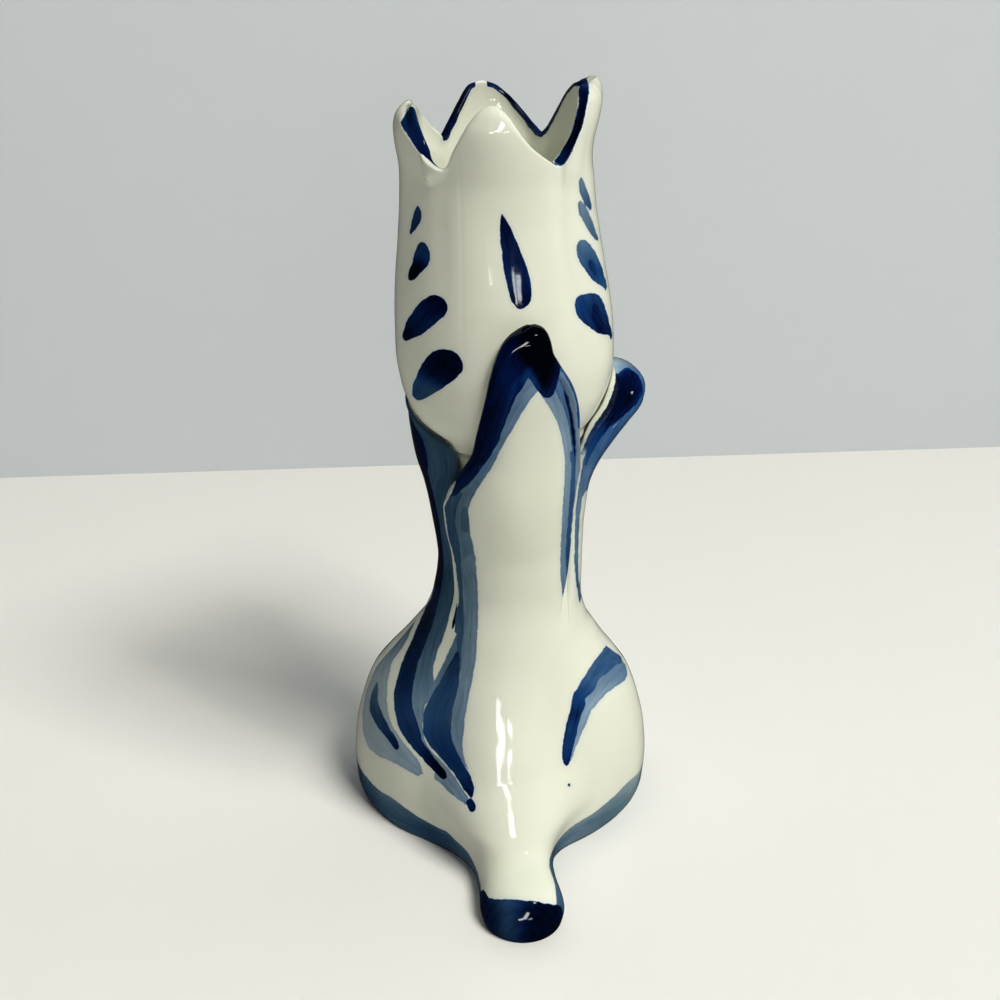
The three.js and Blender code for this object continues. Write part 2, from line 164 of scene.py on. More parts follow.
def cast(oz, a, el):
    """Outermost surface points from the axis at height oz, along azimuth a and elevation el."""
    oz, a, el = np.broadcast_arrays(np.asarray(oz, float), np.asarray(a, float), np.asarray(el, float))
    ox = axis_x(oz)
    dx, dy, dz = np.sin(a * D) * np.cos(el * D), -np.cos(a * D) * np.cos(el * D), np.sin(el * D)

    def at(t):
        return foot_field(ox + dx * t, dy * t, np.clip(oz + dz * t, 0, 92))
    lo = np.full(a.shape, 75.0)
    hi = lo.copy()
    found = np.zeros(a.shape, bool)
    for t in np.arange(75.0, 3.0, -1.0):
        neg = (at(np.full(a.shape, t)) < 0) & ~found
        lo = np.where(neg, t, lo)
        hi = np.where(neg, t + 1.0, hi)
        found |= neg
    for _ in range(16):
        m = (hi + lo) / 2
        neg = at(m) < 0
        lo, hi = np.where(neg, m, lo), np.where(neg, hi, m)
    return np.stack([ox + dx * lo, dy * lo, np.maximum(oz + dz * lo, 0)], -1)


# --- leaves: margins (azimuth by height), face radius by height
LEAVES = {
    "front_leaf": {
        "top": 124.1,
        "left": ([48, 56.9, 60.6, 64.5, 68.9, 72.1, 76.5, 81.9, 85.5, 89.8, 96.1, 101.6, 109.1, 113.8, 117, 119.2, 121, 122.3, 123.2, 123.7, 124.1],
                 [-40, -43.6, -44.8, -45.8, -46.5, -48.2, -49.8, -48.3, -41.5, -32.9, -20.3, -15, -9.7, -7.2, -5.0, -2.9, -0.4, 2.6, 6.0, 8.6, 11.8]),
        "right": ([48, 57.3, 63.3, 67.8, 74.8, 81.9, 89.3, 94.6, 100.3, 106.1, 111.3, 116.5, 118.7, 121, 122.3, 123.2, 123.7, 124.1],
                  [40, 47.3, 52, 53.6, 54.4, 54.6, 51.4, 46.9, 41.7, 38, 33, 25.5, 22.9, 21.9, 21.0, 19.6, 18.0, 15.0]),
        "face": ([48, 53, 58, 63, 70, 76, 82, 86, 90, 94, 98, 104, 110, 116, 120, 122.5, 124.1],
                 [16.4, 16.3, 16.2, 16.5, 17.55, 19.2, 20.7, 21.5, 22.1, 22.6, 23.2, 24.1, 25.0, 25.6, 25.7, 25.3, 24.2]),
        "edge": ([48, 58, 66, 74, 80, 86, 92, 98, 104, 112, 120, 124.1],
                 [16.0, 16.0, 16.3, 16.8, 17.4, 18.4, 19.7, 21.6, 23.3, 24.5, 24.7, 23.7]),
    },
    "right_leaf": {
        "top": 106.6,
        "left": ([48, 56, 64, 72, 80, 85.6, 91.2, 96.9, 101.5, 104.4, 106.6], [52, 55.5, 57, 57.6, 57.8, 58.5, 62, 69, 77, 84, 92]),
        "right": ([48, 58, 70, 80, 87.5, 94, 99.7, 103.4, 105.6, 106.6], [160, 164, 166, 164, 156, 146, 135, 126, 119, 112]),
        "face": ([48, 53, 58, 63, 72, 77, 81.9, 84.7, 88.4, 91.2, 94, 96.9, 100.4, 102.7, 104.4, 105.7, 106.6],
                 [16.6, 16.3, 16.0, 15.9, 16.1, 16.6, 17.3, 18.2, 20.0, 21.8, 23.8, 26.1, 28.7, 29.1, 28.4, 26.9, 24.8]),
        "edge": ([48, 56, 66, 76, 83.8, 89.4, 95, 100.6, 104.4, 106.6], [16.4, 15.9, 15.8, 16.2, 17.3, 18.8, 21.6, 24.9, 25.6, 24.1]),
    },
    "left_leaf": {
        "top": 108.0,
        "left": ([48, 58, 70, 80, 88, 95, 101, 105, 107, 108], [-168, -172, -174, -174, -172, -168, -162, -156, -151, -147]),
        "right": ([48, 54, 60, 66, 72, 77, 80, 82.5, 85, 87, 89.5, 92.5, 95.3, 96.6, 97.6, 98.4, 99.2, 100, 101, 103, 105.5, 108],
                  [-52, -50.8, -49.4, -49.6, -51.0, -52.0, -51.0, -48.8, -44.5, -40.0, -36.0, -35.2, -37.6, -45.0, -54.5, -64, -74, -86, -98, -108, -118, -133]),
        "near": ([48, 56, 66, 76, 84, 88, 92, 95, 97, 98, 99, 100, 102, 104, 108], [16.4, 15.3, 14.8, 15.1, 15.9, 16.6, 17.1, 17.6, 18.3, 18.9, 19.5, 20.1, 21.1, 21.9, 22.8]),
        "face": ([48, 53, 58, 64, 68, 73, 79, 84, 87, 91.6, 96.5, 100, 102, 104, 106, 107.3, 108],
                 [16.6, 16.0, 15.4, 15.2, 15.6, 16.5, 17.6, 18.6, 19.3, 20.0, 20.5, 21.0, 22.0, 22.8, 23.5, 23.6, 23.3]),
        "edge": ([48, 56, 66, 76, 84, 90, 96, 102, 106, 108], [16.4, 15.5, 15.3, 16.0, 17.0, 18.0, 19.3, 21.6, 22.9, 23.1]),
    },
}
BACK_Z = [48, 74, 79, 84, 88, 92, 96.5, 101, 106, 112, 118, 126]
BACK_R = [13.6, 13.6, 13.9, 14.7, 15.5, 16.4, 17.6, 20.15, 21.75, 22.4, 22.3, 21.8]
SEAM_Z = 48.75                     # the leaves' feet


def leaf_section(name, z, n_face=110, n_edge=18):
    """One closed cross-section of a leaf: azimuths, radii, and the side coordinate -1..1."""
    L = LEAVES[name]
    al, ar = float(interp(*L["left"], z)), float(interp(*L["right"], z))
    top = L["top"]
    ff, fe = float(interp(*L["face"], z)), float(interp(*L["edge"], z))
    back = float(interp(BACK_Z, BACK_R, z))
    half = max((ar - al) / 2 * D * ff, 0.02)
    ac = (al + ar) / 2
    # the last millimetres close to a round tip
    u = float(np.clip((z - (top - 3.2)) / 3.2, 0, 1))
    close = math.sqrt(max(1 - u * u, 0.0))
    half = half * (1.0 if name == "front_leaf" else max(close, 0.02))
    e = min(1.5, 0.94 * half)
    th = np.linspace(0, math.pi / 2, n_edge, endpoint=False)
    xs_edge = half - e + e * np.cos(th)          # from the margin inwards
    xs = np.concatenate([-xs_edge, np.linspace(-(half - e), half - e, n_face), xs_edge[::-1]])
    s = xs / half
    k = np.sqrt(np.clip(1 - np.clip((np.abs(xs) - (half - e)) / max(e, 1e-6), 0, 1) ** 2, 0, 1))
    a = ac + xs / (ff * D)
    body = ff - (ff - fe) * np.abs(s) ** (3.6 if name == "right_leaf" else 2.2)
    if "near" in L:                              # the margin towards the front lies closer to the bloom
        body = np.where(s > 0, ff - (ff - float(interp(*L["near"], z))) * np.abs(s) ** 1.5, body)
    return xs, s, k, a, body, back, close, half


def leaf_mesh_rings(name, rows=210):
    """Rings of the leaf, foot to tip, each a closed loop: face left to right, then back right to left."""
    L = LEAVES[name]
    top = L["top"]
    t = np.linspace(0, 1, rows)
    zs = SEAM_Z + (top - 0.05 - SEAM_Z) * np.where(t < 0.86, t / 0.86 * 0.93, 0.93 + 0.07 * np.sin((t - 0.86) / 0.14 * math.pi / 2))
    zs = np.maximum.accumulate(zs)
    P, S, B = [], [], []
    for z in zs:
        xs, s, k, a, body, back, close, half = leaf_section(name, z)
        flat = 1 - ease(54, 62, z)               # at its foot the leaf lies flush in the vase
        env = foot_r(a, z)
        roll = leaf_relief(name, s, xs, half, z)
        face = lerp(body + roll, env - 0.06 + 0.012 * (z - 49), 1 - ease(54.5, 66, z))
        kk = lerp(k, 1.0, flat)
        bk = np.full_like(face, back)
        if z < 79:
            bk = np.minimum(bk, face - 1.0)
        mid, hh = (face + bk) / 2, np.maximum((face - bk) / 2, 0.05)
        hh = hh * lerp(close, 1.0, 0.0 if close < 1 else 1.0)
        shift = (1 - close) * (-0.6)
        cxz = float(axis_x(z))

        def pts(r):
            return np.stack([cxz + r * np.sin(a * D), -r * np.cos(a * D), np.full_like(r, z)], -1)
        out = pts(mid + shift + hh * kk)
        inn = pts(mid + shift - hh * kk)[::-1][1:-1]
        P.append(np.concatenate([out, inn]))
        S.append(np.concatenate([s, s[::-1][1:-1]]))
        B.append(np.concatenate([np.ones_like(s), np.zeros(len(s) - 2)]))
    return np.array(P), np.array(S), np.array(B)


def leaf_relief(name, s, xs, half, z):
    """The rolled edges and soft creases of a leaf's face, in mm."""
    if name == "front_leaf":
        dl, dr = xs + half, half - xs            # mm from the left and the right margin
        up = ease(76, 90, z) * (1 - ease(114, 121, z))
        r = 0.75 * bell(dl - 2.2, 1.7) * ease(60, 84, z) * (1 - ease(115, 122, z))
        r = r - 0.40 * bell(dl - 5.2, 1.8) * up
        r = r + 0.45 * bell(dr - 1.3, 1.0) * ease(84, 96, z) * (1 - ease(112, 118, z))
        r = r - 0.45 * bell(dr - 2.7, 0.7) * ease(88, 98, z) * (1 - ease(111, 117, z))
        r = r + 0.35 * bell(xs + 1.0, 4.0) * bell(z - 84, 7) - 0.25 * bell(xs, 5.0) * bell(z - 100, 8)
        return r
    if name == "right_leaf":
        dl = xs + half
        return 0.12 * bell(dl - 2.0, 1.6) * ease(70, 92, z) * (1 - ease(101, 105, z)) - 0.2 * bell(xs, 6.0) * ease(70, 90, z) * (1 - ease(98, 103, z))
    dr, dl = half - xs, xs + half
    return 0.35 * bell(dr - 2.0, 1.5) * ease(66, 84, z) + 0.4 * bell(dl - 2.0, 1.6) * ease(66, 84, z) - 0.4 * bell(xs, 6.0) * ease(66, 84, z) * (1 - ease(99, 105, z))


# --- bloom: the cut edge of the petals, its outer side and its inner side (azimuth, height)
RIM_OUT = [(-170, 161.2), (-163, 160.6), (-155, 157.0), (-147, 153.2), (-139, 150.8), (-134, 152.4), (-130, 154.0), (-126, 155.7), (-122, 157.2), (-116, 158.9), (-108, 159.8), (-98, 160.0), (-88, 159.9), (-78, 159.7), (-72, 159.4), (-66.7, 158.6), (-62.6, 157.5), (-56.8, 156.3), (-51.9, 155.1), (-47.7, 154.1), (-43.7, 153.4), (-39.3, 152.8), (-36, 152.3), (-33.4, 151.9), (-31.4, 151.5), (-29.8, 151.9),
           (-26.5, 154.1), (-22.8, 156.1), (-20.5, 157.3), (-17.7, 158.8), (-14.9, 160.3), (-12.2, 161.4), (-9.6, 162.3), (-6.9, 162.8), (-3.8, 163.1), (-0.7, 162.9), (1.9, 162.3), (5.1, 161.3), (8.8, 159.5), (11.5, 158.2), (14.8, 156.9), (18.7, 155.6), (22.7, 154.6), (27.5, 153.5), (32, 152.6), (35.3, 152.0), (37.3, 151.9),
           (39.6, 152.6), (41.9, 153.6), (44.1, 154.8), (47.2, 156.3), (49.9, 157.9), (52.4, 159.6), (54.6, 161.2), (57, 162.7), (60, 163.7), (65, 164.2), (71, 164.5), (78, 164.6), (88, 164.6), (98, 164.5), (108, 164.3), (116, 163.4), (122, 162.7), (128, 161.3), (132, 159.9), (137, 157.6), (142, 154.9), (146, 152.6), (150, 151.3), (157, 152.6), (166, 155.6), (175, 158.8), (183, 160.7)]
RIM_IN = [(-170, 161.6), (-163, 161.0), (-155, 157.4), (-147, 153.6), (-139, 151.2), (-134, 152.6), (-130, 153.6), (-126, 154.9), (-122, 156.0), (-116, 157.3), (-108, 158.6), (-98, 159.6), (-88, 160.2), (-78, 160.6), (-71, 161.1), (-67, 161.2), (-64, 161.0), (-61.2, 160.3), (-58.8, 159.4), (-54.2, 157.3), (-50.2, 155.5), (-46.5, 154.2), (-42.1, 153.0), (-38.9, 152.3), (-35.4, 151.7), (-32.5, 151.6), (-29.8, 152.4),
          (-26.5, 154.3), (-22.8, 156.2), (-20.5, 157.3), (-17.7, 158.7), (-14.9, 160.1), (-12.2, 161.2), (-9.6, 162.0), (-6.9, 162.5), (-3.8, 162.8), (-0.7, 162.6), (1.9, 162.1), (5.1, 161.1), (8.8, 159.6), (11.5, 158.3), (14.8, 156.9), (18.7, 155.5), (22.7, 154.4), (27.5, 153.3), (32, 152.5), (35.3, 152.1), (37.3, 152.2),
          (39.6, 153.1), (41.9, 154.0), (44.1, 154.9), (47.2, 156.1), (50.6, 157.6), (54.5, 159.8), (57.6, 161.8), (60.5, 163.3), (65, 164.4), (71, 164.7), (78, 164.5), (88, 163.9), (98, 163.5), (108, 163.2), (116, 162.8), (122, 162.2), (128, 160.9), (132, 159.6), (137, 157.4), (142, 154.8), (146, 152.7), (150, 151.7), (157, 153.1), (166, 156.0), (175, 159.2), (183, 161.1)]
NOTCHES = (-139, -33, 38, 150)
_RA = np.arange(0, 360, 0.25)
_K = np.exp(-(np.arange(-12, 13) * 0.25 / 0.8) ** 2)
_K /= _K.sum()


def flare(a, z):
    """The front and the back petal bend out below their tips."""
    return (bell(wrap(a + 3), 22) * interp([143, 147, 152, 156, 159, 161, 163.5], [0, 0.1, 0.6, 1.15, 1.4, 1.15, 0.6], z)
            + bell(wrap(a - 176), 26) * interp([146, 150, 155, 160, 163], [0, 0.2, 0.8, 1.5, 1.8], z))


def _rim_table(t):
    z = ring([p[0] for p in t], [p[1] for p in t], _RA)
    z = z + 0.49 * np.cos(_RA * D) * flare(_RA, z)
    z = np.convolve(np.concatenate([z[-12:], z, z[:12]]), _K, mode="valid")
    return np.append(z, z[0])


_RO, _RI = _rim_table(RIM_OUT), _rim_table(RIM_IN)
_RZ = (_RO + _RI)[:-1] / 2
_RS = (np.roll(_RZ, -1) - np.roll(_RZ, 1)) / (0.5 * D * 19.0)      # slope of the rim, mm per mm
_RA = np.append(_RA, 360.0)


def rim_out(a):
    return np.interp(np.asarray(a, float) % 360, _RA, _RO)


def rim_in(a):
    return np.interp(np.asarray(a, float) % 360, _RA, _RI)


def rim_stretch(a):
    s = np.interp(np.asarray(a, float) % 360, _RA, np.append(_RS, _RS[0]))
    return np.sqrt(1 + s * s)


BLOOM_Z = [88.0, 88.6, 89.9, 92.5, 96.5, 101, 106, 112, 118, 124, 130, 136, 142, 148, 153, 158, 162, 166]
BLOOM_R = [NECK_R, 8.6, 10.4, 13.6, 17.0, 19.7, 21.3, 21.95, 21.8, 21.3, 20.5, 19.7, 19.1, 18.95, 19.3, 19.5, 19.2, 18.6]
LUMP = [(-29.6, 152.6), (-30.0, 151.4), (-32.6, 150.2), (-36.3, 149.3), (-40.6, 148.5), (-45.4, 149.0), (-48, 151), (-49, 154), (-42, 155.5), (-33, 154.5)]


def bloom_r(a, z):
    a, z = np.broadcast_arrays(np.asarray(a, float), np.asarray(z, float))
    r = interp(BLOOM_Z, BLOOM_R, z)
    d = lambda c: wrap(a - c)
    # petals: shallow valleys below the notches, and the faint lines the mould left
    valley = 0
    for az, k in zip(NOTCHES, (0.42, 0.12, 0.34, 0.42)):
        valley = valley + bell(d(az), 5.5) * k + bell(d(az), 12.0) * 0.15
    r = r - valley * ease(112, 141, z)
    fade = ease(106, 122, z) * (1 - ease(150, 158, z))
    for az, k in ((-22, 0.045), (-92, 0.05), (88, 0.05), (176, 0.05), (122, 0.04), (-128, 0.04)):
        r = r - k * bell(d(az + 1.5 * np.sin(z * 0.06)), 0.9) * fade
    # the side petals bend out towards their tips
    r = r + bell(d(86), 34) * interp([138, 143, 147, 150, 152, 154, 156, 158.5, 161, 163, 166], [0, -0.2, -0.55, -1.0, -1.2, -1.1, -0.8, -0.3, 0.25, 0.6, 0.9], z)
    r = r + bell(d(-86), 30) * interp([146, 150, 152, 154, 156, 158, 161, 166], [0, 0.12, 0.30, 0.46, 0.50, 0.50, 0.60, 0.9], z)
    r = r + flare(a, z)
    # the underside is full where it shows between the leaves, above a fine seam
    w = wrap(a)
    full = np.maximum(ease(-52, -44, w) * (1 - ease(-18, -8, w)), ease(38, 46, w) * (1 - ease(70, 78, w)))
    r = lerp(r, np.maximum(r, interp([88.0, 88.25, 88.5, 90, 92, 93.2, 93.7, 94.2, 95.2, 96.5], [NECK_R, 9.0, 14.7, 15.2, 15.65, 15.9, 15.0, 16.45, 16.75, 17.0], z)), full)
    r = r + bell(d(-64), 27) * interp([93.5, 95, 97, 100, 103, 106], [0, 0.12, 0.24, 0.24, 0.1, 0], z)
    # glaze pooled at the end of the centre stroke
    r = r + 0.13 * (1 - ease(126.5, 133.5, z)) * ease(112, 123, z) * bell(w - 10.0, 8.0)
    # the left petal's front corner is pressed out over the front petal
    q = np.stack([wrap(a) * D * 19.4, z], -1).reshape(-1, 2)
    near = (np.abs(q[:, 0] + 13) < 8) & (q[:, 1] > 145)
    lump = np.zeros(len(q))
    if near.any():
        p = np.array([(u * D * 19.4, v) for u, v in LUMP])
        e = spline(p)
        left = ease(-50, -38, q[near][:, 0] / (D * 19.4))
        lump[near] = ease(-0.8, 1.6, poly_sd(q[near], e)) * left
    r = r + 1.45 * lump.reshape(a.shape)
    # the right petal's front edge stands a little proud too
    r = r + 0.45 * ease(38.5, 41.5, wrap(a)) * (1 - ease(46, 62, wrap(a))) * ease(146, 151, z)
    # soft pressing marks
    r = r + 0.12 * np.sin(a * D * 5 + z * 0.07) * ease(98, 110, z) * (1 - ease(140, 150, z))
    return r


# ------------------------------------------------------------------ mesh building
def build(name, rings, caps=(None, None), closed_rings=True, attrs=None, loop_rows=False):
    """A closed skin from an array of rings (rows, columns, 3) in mm. caps are the end points of the fans, or None."""
    rows, cols, _ = rings.shape
    v = rings.reshape(-1, 3)
    i = np.arange(rows if loop_rows else rows - 1)[:, None] * cols
    j = np.arange(cols)[None, :]
    jn = (j + 1) % cols
    up = (np.arange(rows if loop_rows else rows - 1)[:, None] + 1) % rows * cols
    quads = np.stack([i + j, i + jn, up + jn, up + j], -1).reshape(-1, 4)
    extra, tris = [], []
    if caps[0] is not None:
        c = len(v) + len(extra)
        extra.append(caps[0])
        tris += [(c, int((k + 1) % cols), int(k)) for k in range(cols)]
    if caps[1] is not None:
        c = len(v) + len(extra)
        extra.append(caps[1])
        b = (rows - 1) * cols
        tris += [(c, b + int(k), b + int((k + 1) % cols)) for k in range(cols)]
    if extra:
        v = np.concatenate([v, np.array(extra, float)])
    nq, nt = len(quads), len(tris)
    corner = np.concatenate([quads.reshape(-1), np.array(tris, int).reshape(-1)])
    starts = np.concatenate([np.arange(nq) * 4, nq * 4 + np.arange(nt) * 3])
    totals = np.concatenate([np.full(nq, 4), np.full(nt, 3)])
    me = bpy.data.meshes.new(name)
    me.vertices.add(len(v))
    me.vertices.foreach_set("co", (v / 1000.0).astype(np.float32).reshape(-1))
    me.loops.add(len(corner))
    me.loops.foreach_set("vertex_index", corner.astype(np.int32))
    me.polygons.add(len(starts))
    me.polygons.foreach_set("loop_start", starts.astype(np.int32))
    me.polygons.foreach_set("loop_total", totals.astype(np.int32))
    me.update(calc_edges=True)
    me.validate()
    # turn the skin outwards
    co = v
    q = quads
    vol = np.einsum("ij,ij->i", co[q[:, 0]], np.cross(co[q[:, 1]], co[q[:, 2]])).sum() + np.einsum("ij,ij->i", co[q[:, 0]], np.cross(co[q[:, 2]], co[q[:, 3]])).sum()
    if vol < 0:
        me.flip_normals()
    me.shade_smooth()
    for key, val in (attrs or {}).items():
        val = np.asarray(val, np.float32).reshape(-1)
        if len(val) < len(v):
            val = np.concatenate([val, np.full(len(v) - len(val), val[-1], np.float32)])
        at = me.attributes.new(key, "FLOAT", "POINT")
        at.data.foreach_set("value", val)
    ob = bpy.data.objects.new(name, me)
    bpy.context.scene.collection.objects.link(ob)
    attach(ob, "root")
    return ob, v


# ------------------------------------------------------------------ paint
def spline(points, closed=True, n=7):
    p = np.asarray(points, float)
    m = len(p)
    out = []
    for i in range(m if closed else m - 1):
        if closed:
            a, b, c, d = p[(i - 1) % m], p[i], p[(i + 1) % m], p[(i + 2) % m]
        else:
            a, b, c, d = p[max(i - 1, 0)], p[i], p[i + 1], p[min(i + 2, m - 1)]
        t = np.linspace(0, 1, n, endpoint=False)[:, None]
        out.append(0.5 * ((2 * b) + (c - a) * t + (2 * a - 5 * b + 4 * c - d) * t**2 + (3 * b - a - 3 * c + d) * t**3))
    out = np.concatenate(out)
    return out if closed else np.concatenate([out, p[-1:]])


def poly_sd(q, poly):
    """Signed distance, positive inside."""
    a, b = poly, np.roll(poly, -1, axis=0)
    best = np.full(len(q), 1e9)
    inside = np.zeros(len(q), bool)
    for p0, p1 in zip(a, b):
        e = p1 - p0
        w = q - p0
        t = np.clip((w @ e) / max(float(e @ e), 1e-12), 0, 1)
        dd = w - t[:, None] * e
        best = np.minimum(best, (dd * dd).sum(-1))
        c = (p0[1] > q[:, 1]) != (p1[1] > q[:, 1])
        xi = (p1[0] - p0[0]) * (q[:, 1] - p0[1]) / (p1[1] - p0[1] + 1e-12) + p0[0]
        inside ^= c & (q[:, 0] < xi)
    return np.sqrt(best) * np.where(inside, 1, -1)


def along(q, line):
    """Side distance and running length by an open line."""
    best = np.full(len(q), 1e9)
    s = np.zeros(len(q))
    t_out = np.zeros(len(q))
    run = 0.0
    for p0, p1 in zip(line[:-1], line[1:]):
        e = p1 - p0
        ln = float(np.hypot(*e)) + 1e-9
        w = q - p0
        t = np.clip((w @ e) / ln**2, 0, 1)
        dd = w - t[:, None] * e
        dist = np.hypot(dd[:, 0], dd[:, 1])
        m = dist < best
        side = np.sign(e[0] * w[:, 1] - e[1] * w[:, 0])
        best = np.where(m, dist, best)
        s = np.where(m, side * dist, s)
        t_out = np.where(m, run + t * ln, t_out)
        run += ln
    return s, t_out, run


class Paint:
    """Three layers of pigment on one piece: a pale wash, a middle blue and a dark blue.
    Each layer keeps the distance to its strokes' edges, in mm, and the load of pigment."""
    FAR = -2.5

    def __init__(self, verts):
        n = len(verts)
        self.px = to_px(verts)
        c = axis_x(verts[:, 2])
        self.az = np.degrees(np.arctan2(verts[:, 0] - c, -verts[:, 1]))
        self.z = verts[:, 2]
        self.v = verts
        self.sd = np.full((3, n), self.FAR)
        self.load = np.full((3, n), 0.5)
        self.top = np.full(n, -9.0)
        self.s = np.zeros(n)
        self.t = np.zeros(n)
        self.slate = np.full(n, 0.2)         # 0: cobalt, 1: the thin greyish blue

    def space(self, kind, ref):
        if kind == "px":
            return self.px, 1 / 4.85
        return np.stack([wrap(self.az - ref[0]) * D * ref[1], self.z], -1), 1.0

    def add(self, layer, poly, load, line=None, space="px", ref=(0, 20), where=None, round_it=True, tighten=0.0):
        """poly in pixels, or in (azimuth, height) with space="az". load: one number, or (at line start, at line end), or a list along the line."""
        poly = np.asarray(poly, float)
        q, scale = self.space(space, ref)
        if space == "az":
            poly = np.stack([wrap(poly[:, 0] - ref[0]) * D * ref[1], poly[:, 1]], -1)
        poly = spline(poly) if round_it else poly
        lo, hi = poly.min(0) - 3 / scale, poly.max(0) + 3 / scale
        near = ((q > lo) & (q < hi)).all(-1)
        if where is not None:
            near &= where
        idx = np.nonzero(near)[0]
        if not len(idx):
            return
        sd = poly_sd(q[idx], poly) * scale - tighten
        if line is None:
            c = poly.mean(0)
            _, _, vt = np.linalg.svd(poly - c)
            pr = (poly - c) @ vt[0]
            line = np.array([c + vt[0] * pr.min(), c + vt[0] * pr.max()])
            if line[0][1] > line[1][1] and space == "px":
                line = line[::-1]
            if line[0][1] < line[1][1] and space == "az":
                line = line[::-1]
        else:
            line = np.asarray(line, float)
            if space == "az":
                line = np.stack([wrap(line[:, 0] - ref[0]) * D * ref[1], line[:, 1]], -1)
            line = spline(line, closed=False, n=5)
        s, t, run = along(q[idx], line)
        f = np.clip(t / run, 0, 1)
        ld = np.atleast_1d(np.asarray(load, float))
        val = np.interp(f, np.linspace(0, 1, len(ld)), ld) if len(ld) > 1 else np.full(len(idx), ld[0])
        better = sd > self.sd[layer][idx]
        w = idx[better]
        self.sd[layer][w] = sd[better]
        self.load[layer][w] = val[better]
        lead = sd + layer * 0.6 > self.top[idx]
        w = idx[lead]
        self.top[w] = (sd + layer * 0.6)[lead]
        self.s[w] = s[lead] * scale
        self.t[w] = t[lead] * scale

    def attrs(self):
        out = {}
        for i, k in enumerate("abc"):
            out["sd_" + k] = self.sd[i]
            out["load_" + k] = self.load[i]
        out["across"] = self.s
        out["along"] = self.t
        out["slate"] = self.slate
        return out


# ------------------------------------------------------------------ the foot and stem
def body_piece():
    cols = np.concatenate([
        np.arange(-180, -60, 1.25), np.arange(-60, -24, 0.9), np.arange(-24, -4, 0.27), np.arange(-4, 8, 0.6),
        np.arange(8, 26, 0.27), np.arange(26, 62, 0.9), np.arange(62, 180, 1.25)])
    path = [(2.4, 0), (2.4, 3), (2.4, 6), (2.4, 9.5), (2.4, 13), (5.5, 14.5), (10, 15.5), (15, 15), (20, 13.5), (25, 11), (30, 8.5), (35, 6), (39.5, 3.5), (43.5, 1.5), (SEAM_Z, 0)]
    steps = [4, 7, 7, 10, 14, 8, 9, 9, 9, 9, 9, 9, 8, 7]
    oz, el = [], []
    for (p, q), n in zip(zip(path[:-1], path[1:]), steps):
        for k in range(n):
            oz.append(lerp(p[0], q[0], k / n))
            el.append(lerp(p[1], q[1], k / n))
    A, OZ = np.meshgrid(cols, oz)
    EL = np.broadcast_to(np.array(el)[:, None], A.shape)
    flank = cast(OZ, A, EL)
    outline = cast(np.zeros(len(cols)), cols, np.zeros(len(cols)))
    outline[:, 2] = 0.0
    under = [outline * np.array([f, f, 1]) for f in (0.12, 0.35, 0.6, 0.8, 0.92, 0.975)]
    foot_edge = [outline]
    # from the table up to the first cast row, on a small radius
    first = flank[0]
    for f in (0.3, 0.62, 0.85):
        foot_edge.append(lerp(outline, first, np.array([ease(0, 1, f) ** 0.6, ease(0, 1, f) ** 0.6, f])))
    rings = under + foot_edge + list(flank)
    # stem: flush at the leaves' feet, then behind the leaves, with shallow grooves between them
    zs = np.concatenate([np.arange(SEAM_Z, 60, 0.42), np.arange(60, 79, 0.8), np.arange(79, 88.01, 0.5)])
    for z in zs:
        env = foot_r(cols, z)
        deep = 3.0 * ease(55.0, 58.5, z)
        groove = 0.95 * ease(50.5, 64, z) + interp([60, 78, 83, 85.5, 87, 88], [0, -0.5, -0.5, -0.2, 0.2, 0.9], z)
        cover = np.zeros_like(cols)
        for L in LEAVES.values():
            al, ar = float(interp(*L["left"], z)), float(interp(*L["right"], z))
            mid, hw = (al + ar) / 2, (ar - al) / 2
            d = (hw - np.abs(wrap(cols - mid))) * D * 16.0
            cover = np.maximum(cover, ease(0.25, 2.2, d))
        deep_z = deep + interp([60, 79, 83, 86, 88], [0, 0.4, 2.2, 4.6, 6.6], z)
        r = env - lerp(groove, deep_z, cover)
        rings.append(np.stack([axis_x(z) + r * np.sin(cols * D), -r * np.cos(cols * D), np.full_like(r, z)], -1))
    z = 88.0
    for r in (10.4, 9.0, 7.7, 6.2, BORE_R + 0.3):
        rings.append(np.stack([axis_x(z) + r * np.sin(cols * D), -r * np.cos(cols * D), np.full(len(cols), z)], -1))
    inner = [(87.7, None, BORE_R)] + [(zz, None, BORE_R) for zz in (86, 84.5, 83)]
    for zz, w in [(81, 5.4), (78, 7.4), (74, 6.5), (68, 6.2), (62, 6.0), (56, 5.9), (52, 5.75)]:
        inner.append((zz, w, None))
    for zz, w, r0 in inner:
        r = np.full(len(cols), r0) if r0 is not None else np.maximum(foot_r(cols, zz) - w - (1.6 if zz == 81 else 0), BORE_R)
        rings.append(np.stack([axis_x(zz) + r * np.sin(cols * D), -r * np.cos(cols * D), np.full(len(cols), zz)], -1))
    for zz, f in [(45, .93), (38, .93), (31, .98), (23, .98), (14, .98), (10, .97), (7.5, .94), (5.6, .9)]:
        r = (foot_r(cols, zz) - 3.4) * f
        rings.append(np.stack([axis_x(zz) + r * np.sin(cols * D), -r * np.cos(cols * D), np.full(len(cols), zz)], -1))
    for f in (0.8, 0.4):
        r = (foot_r(cols, 7) - 3.4) * f
        rings.append(np.stack([r * np.sin(cols * D), -r * np.cos(cols * D), np.full(len(cols), 3.6)], -1))
    n_under, n_outer = len(under) + 1, len(under) + len(foot_edge) + len(flank) + len(zs)
    rings = np.array(rings)
    flags = np.zeros(rings.shape[:2])
    flags[n_under - 1:n_outer] = 1.0
    return rings, flags, n_under


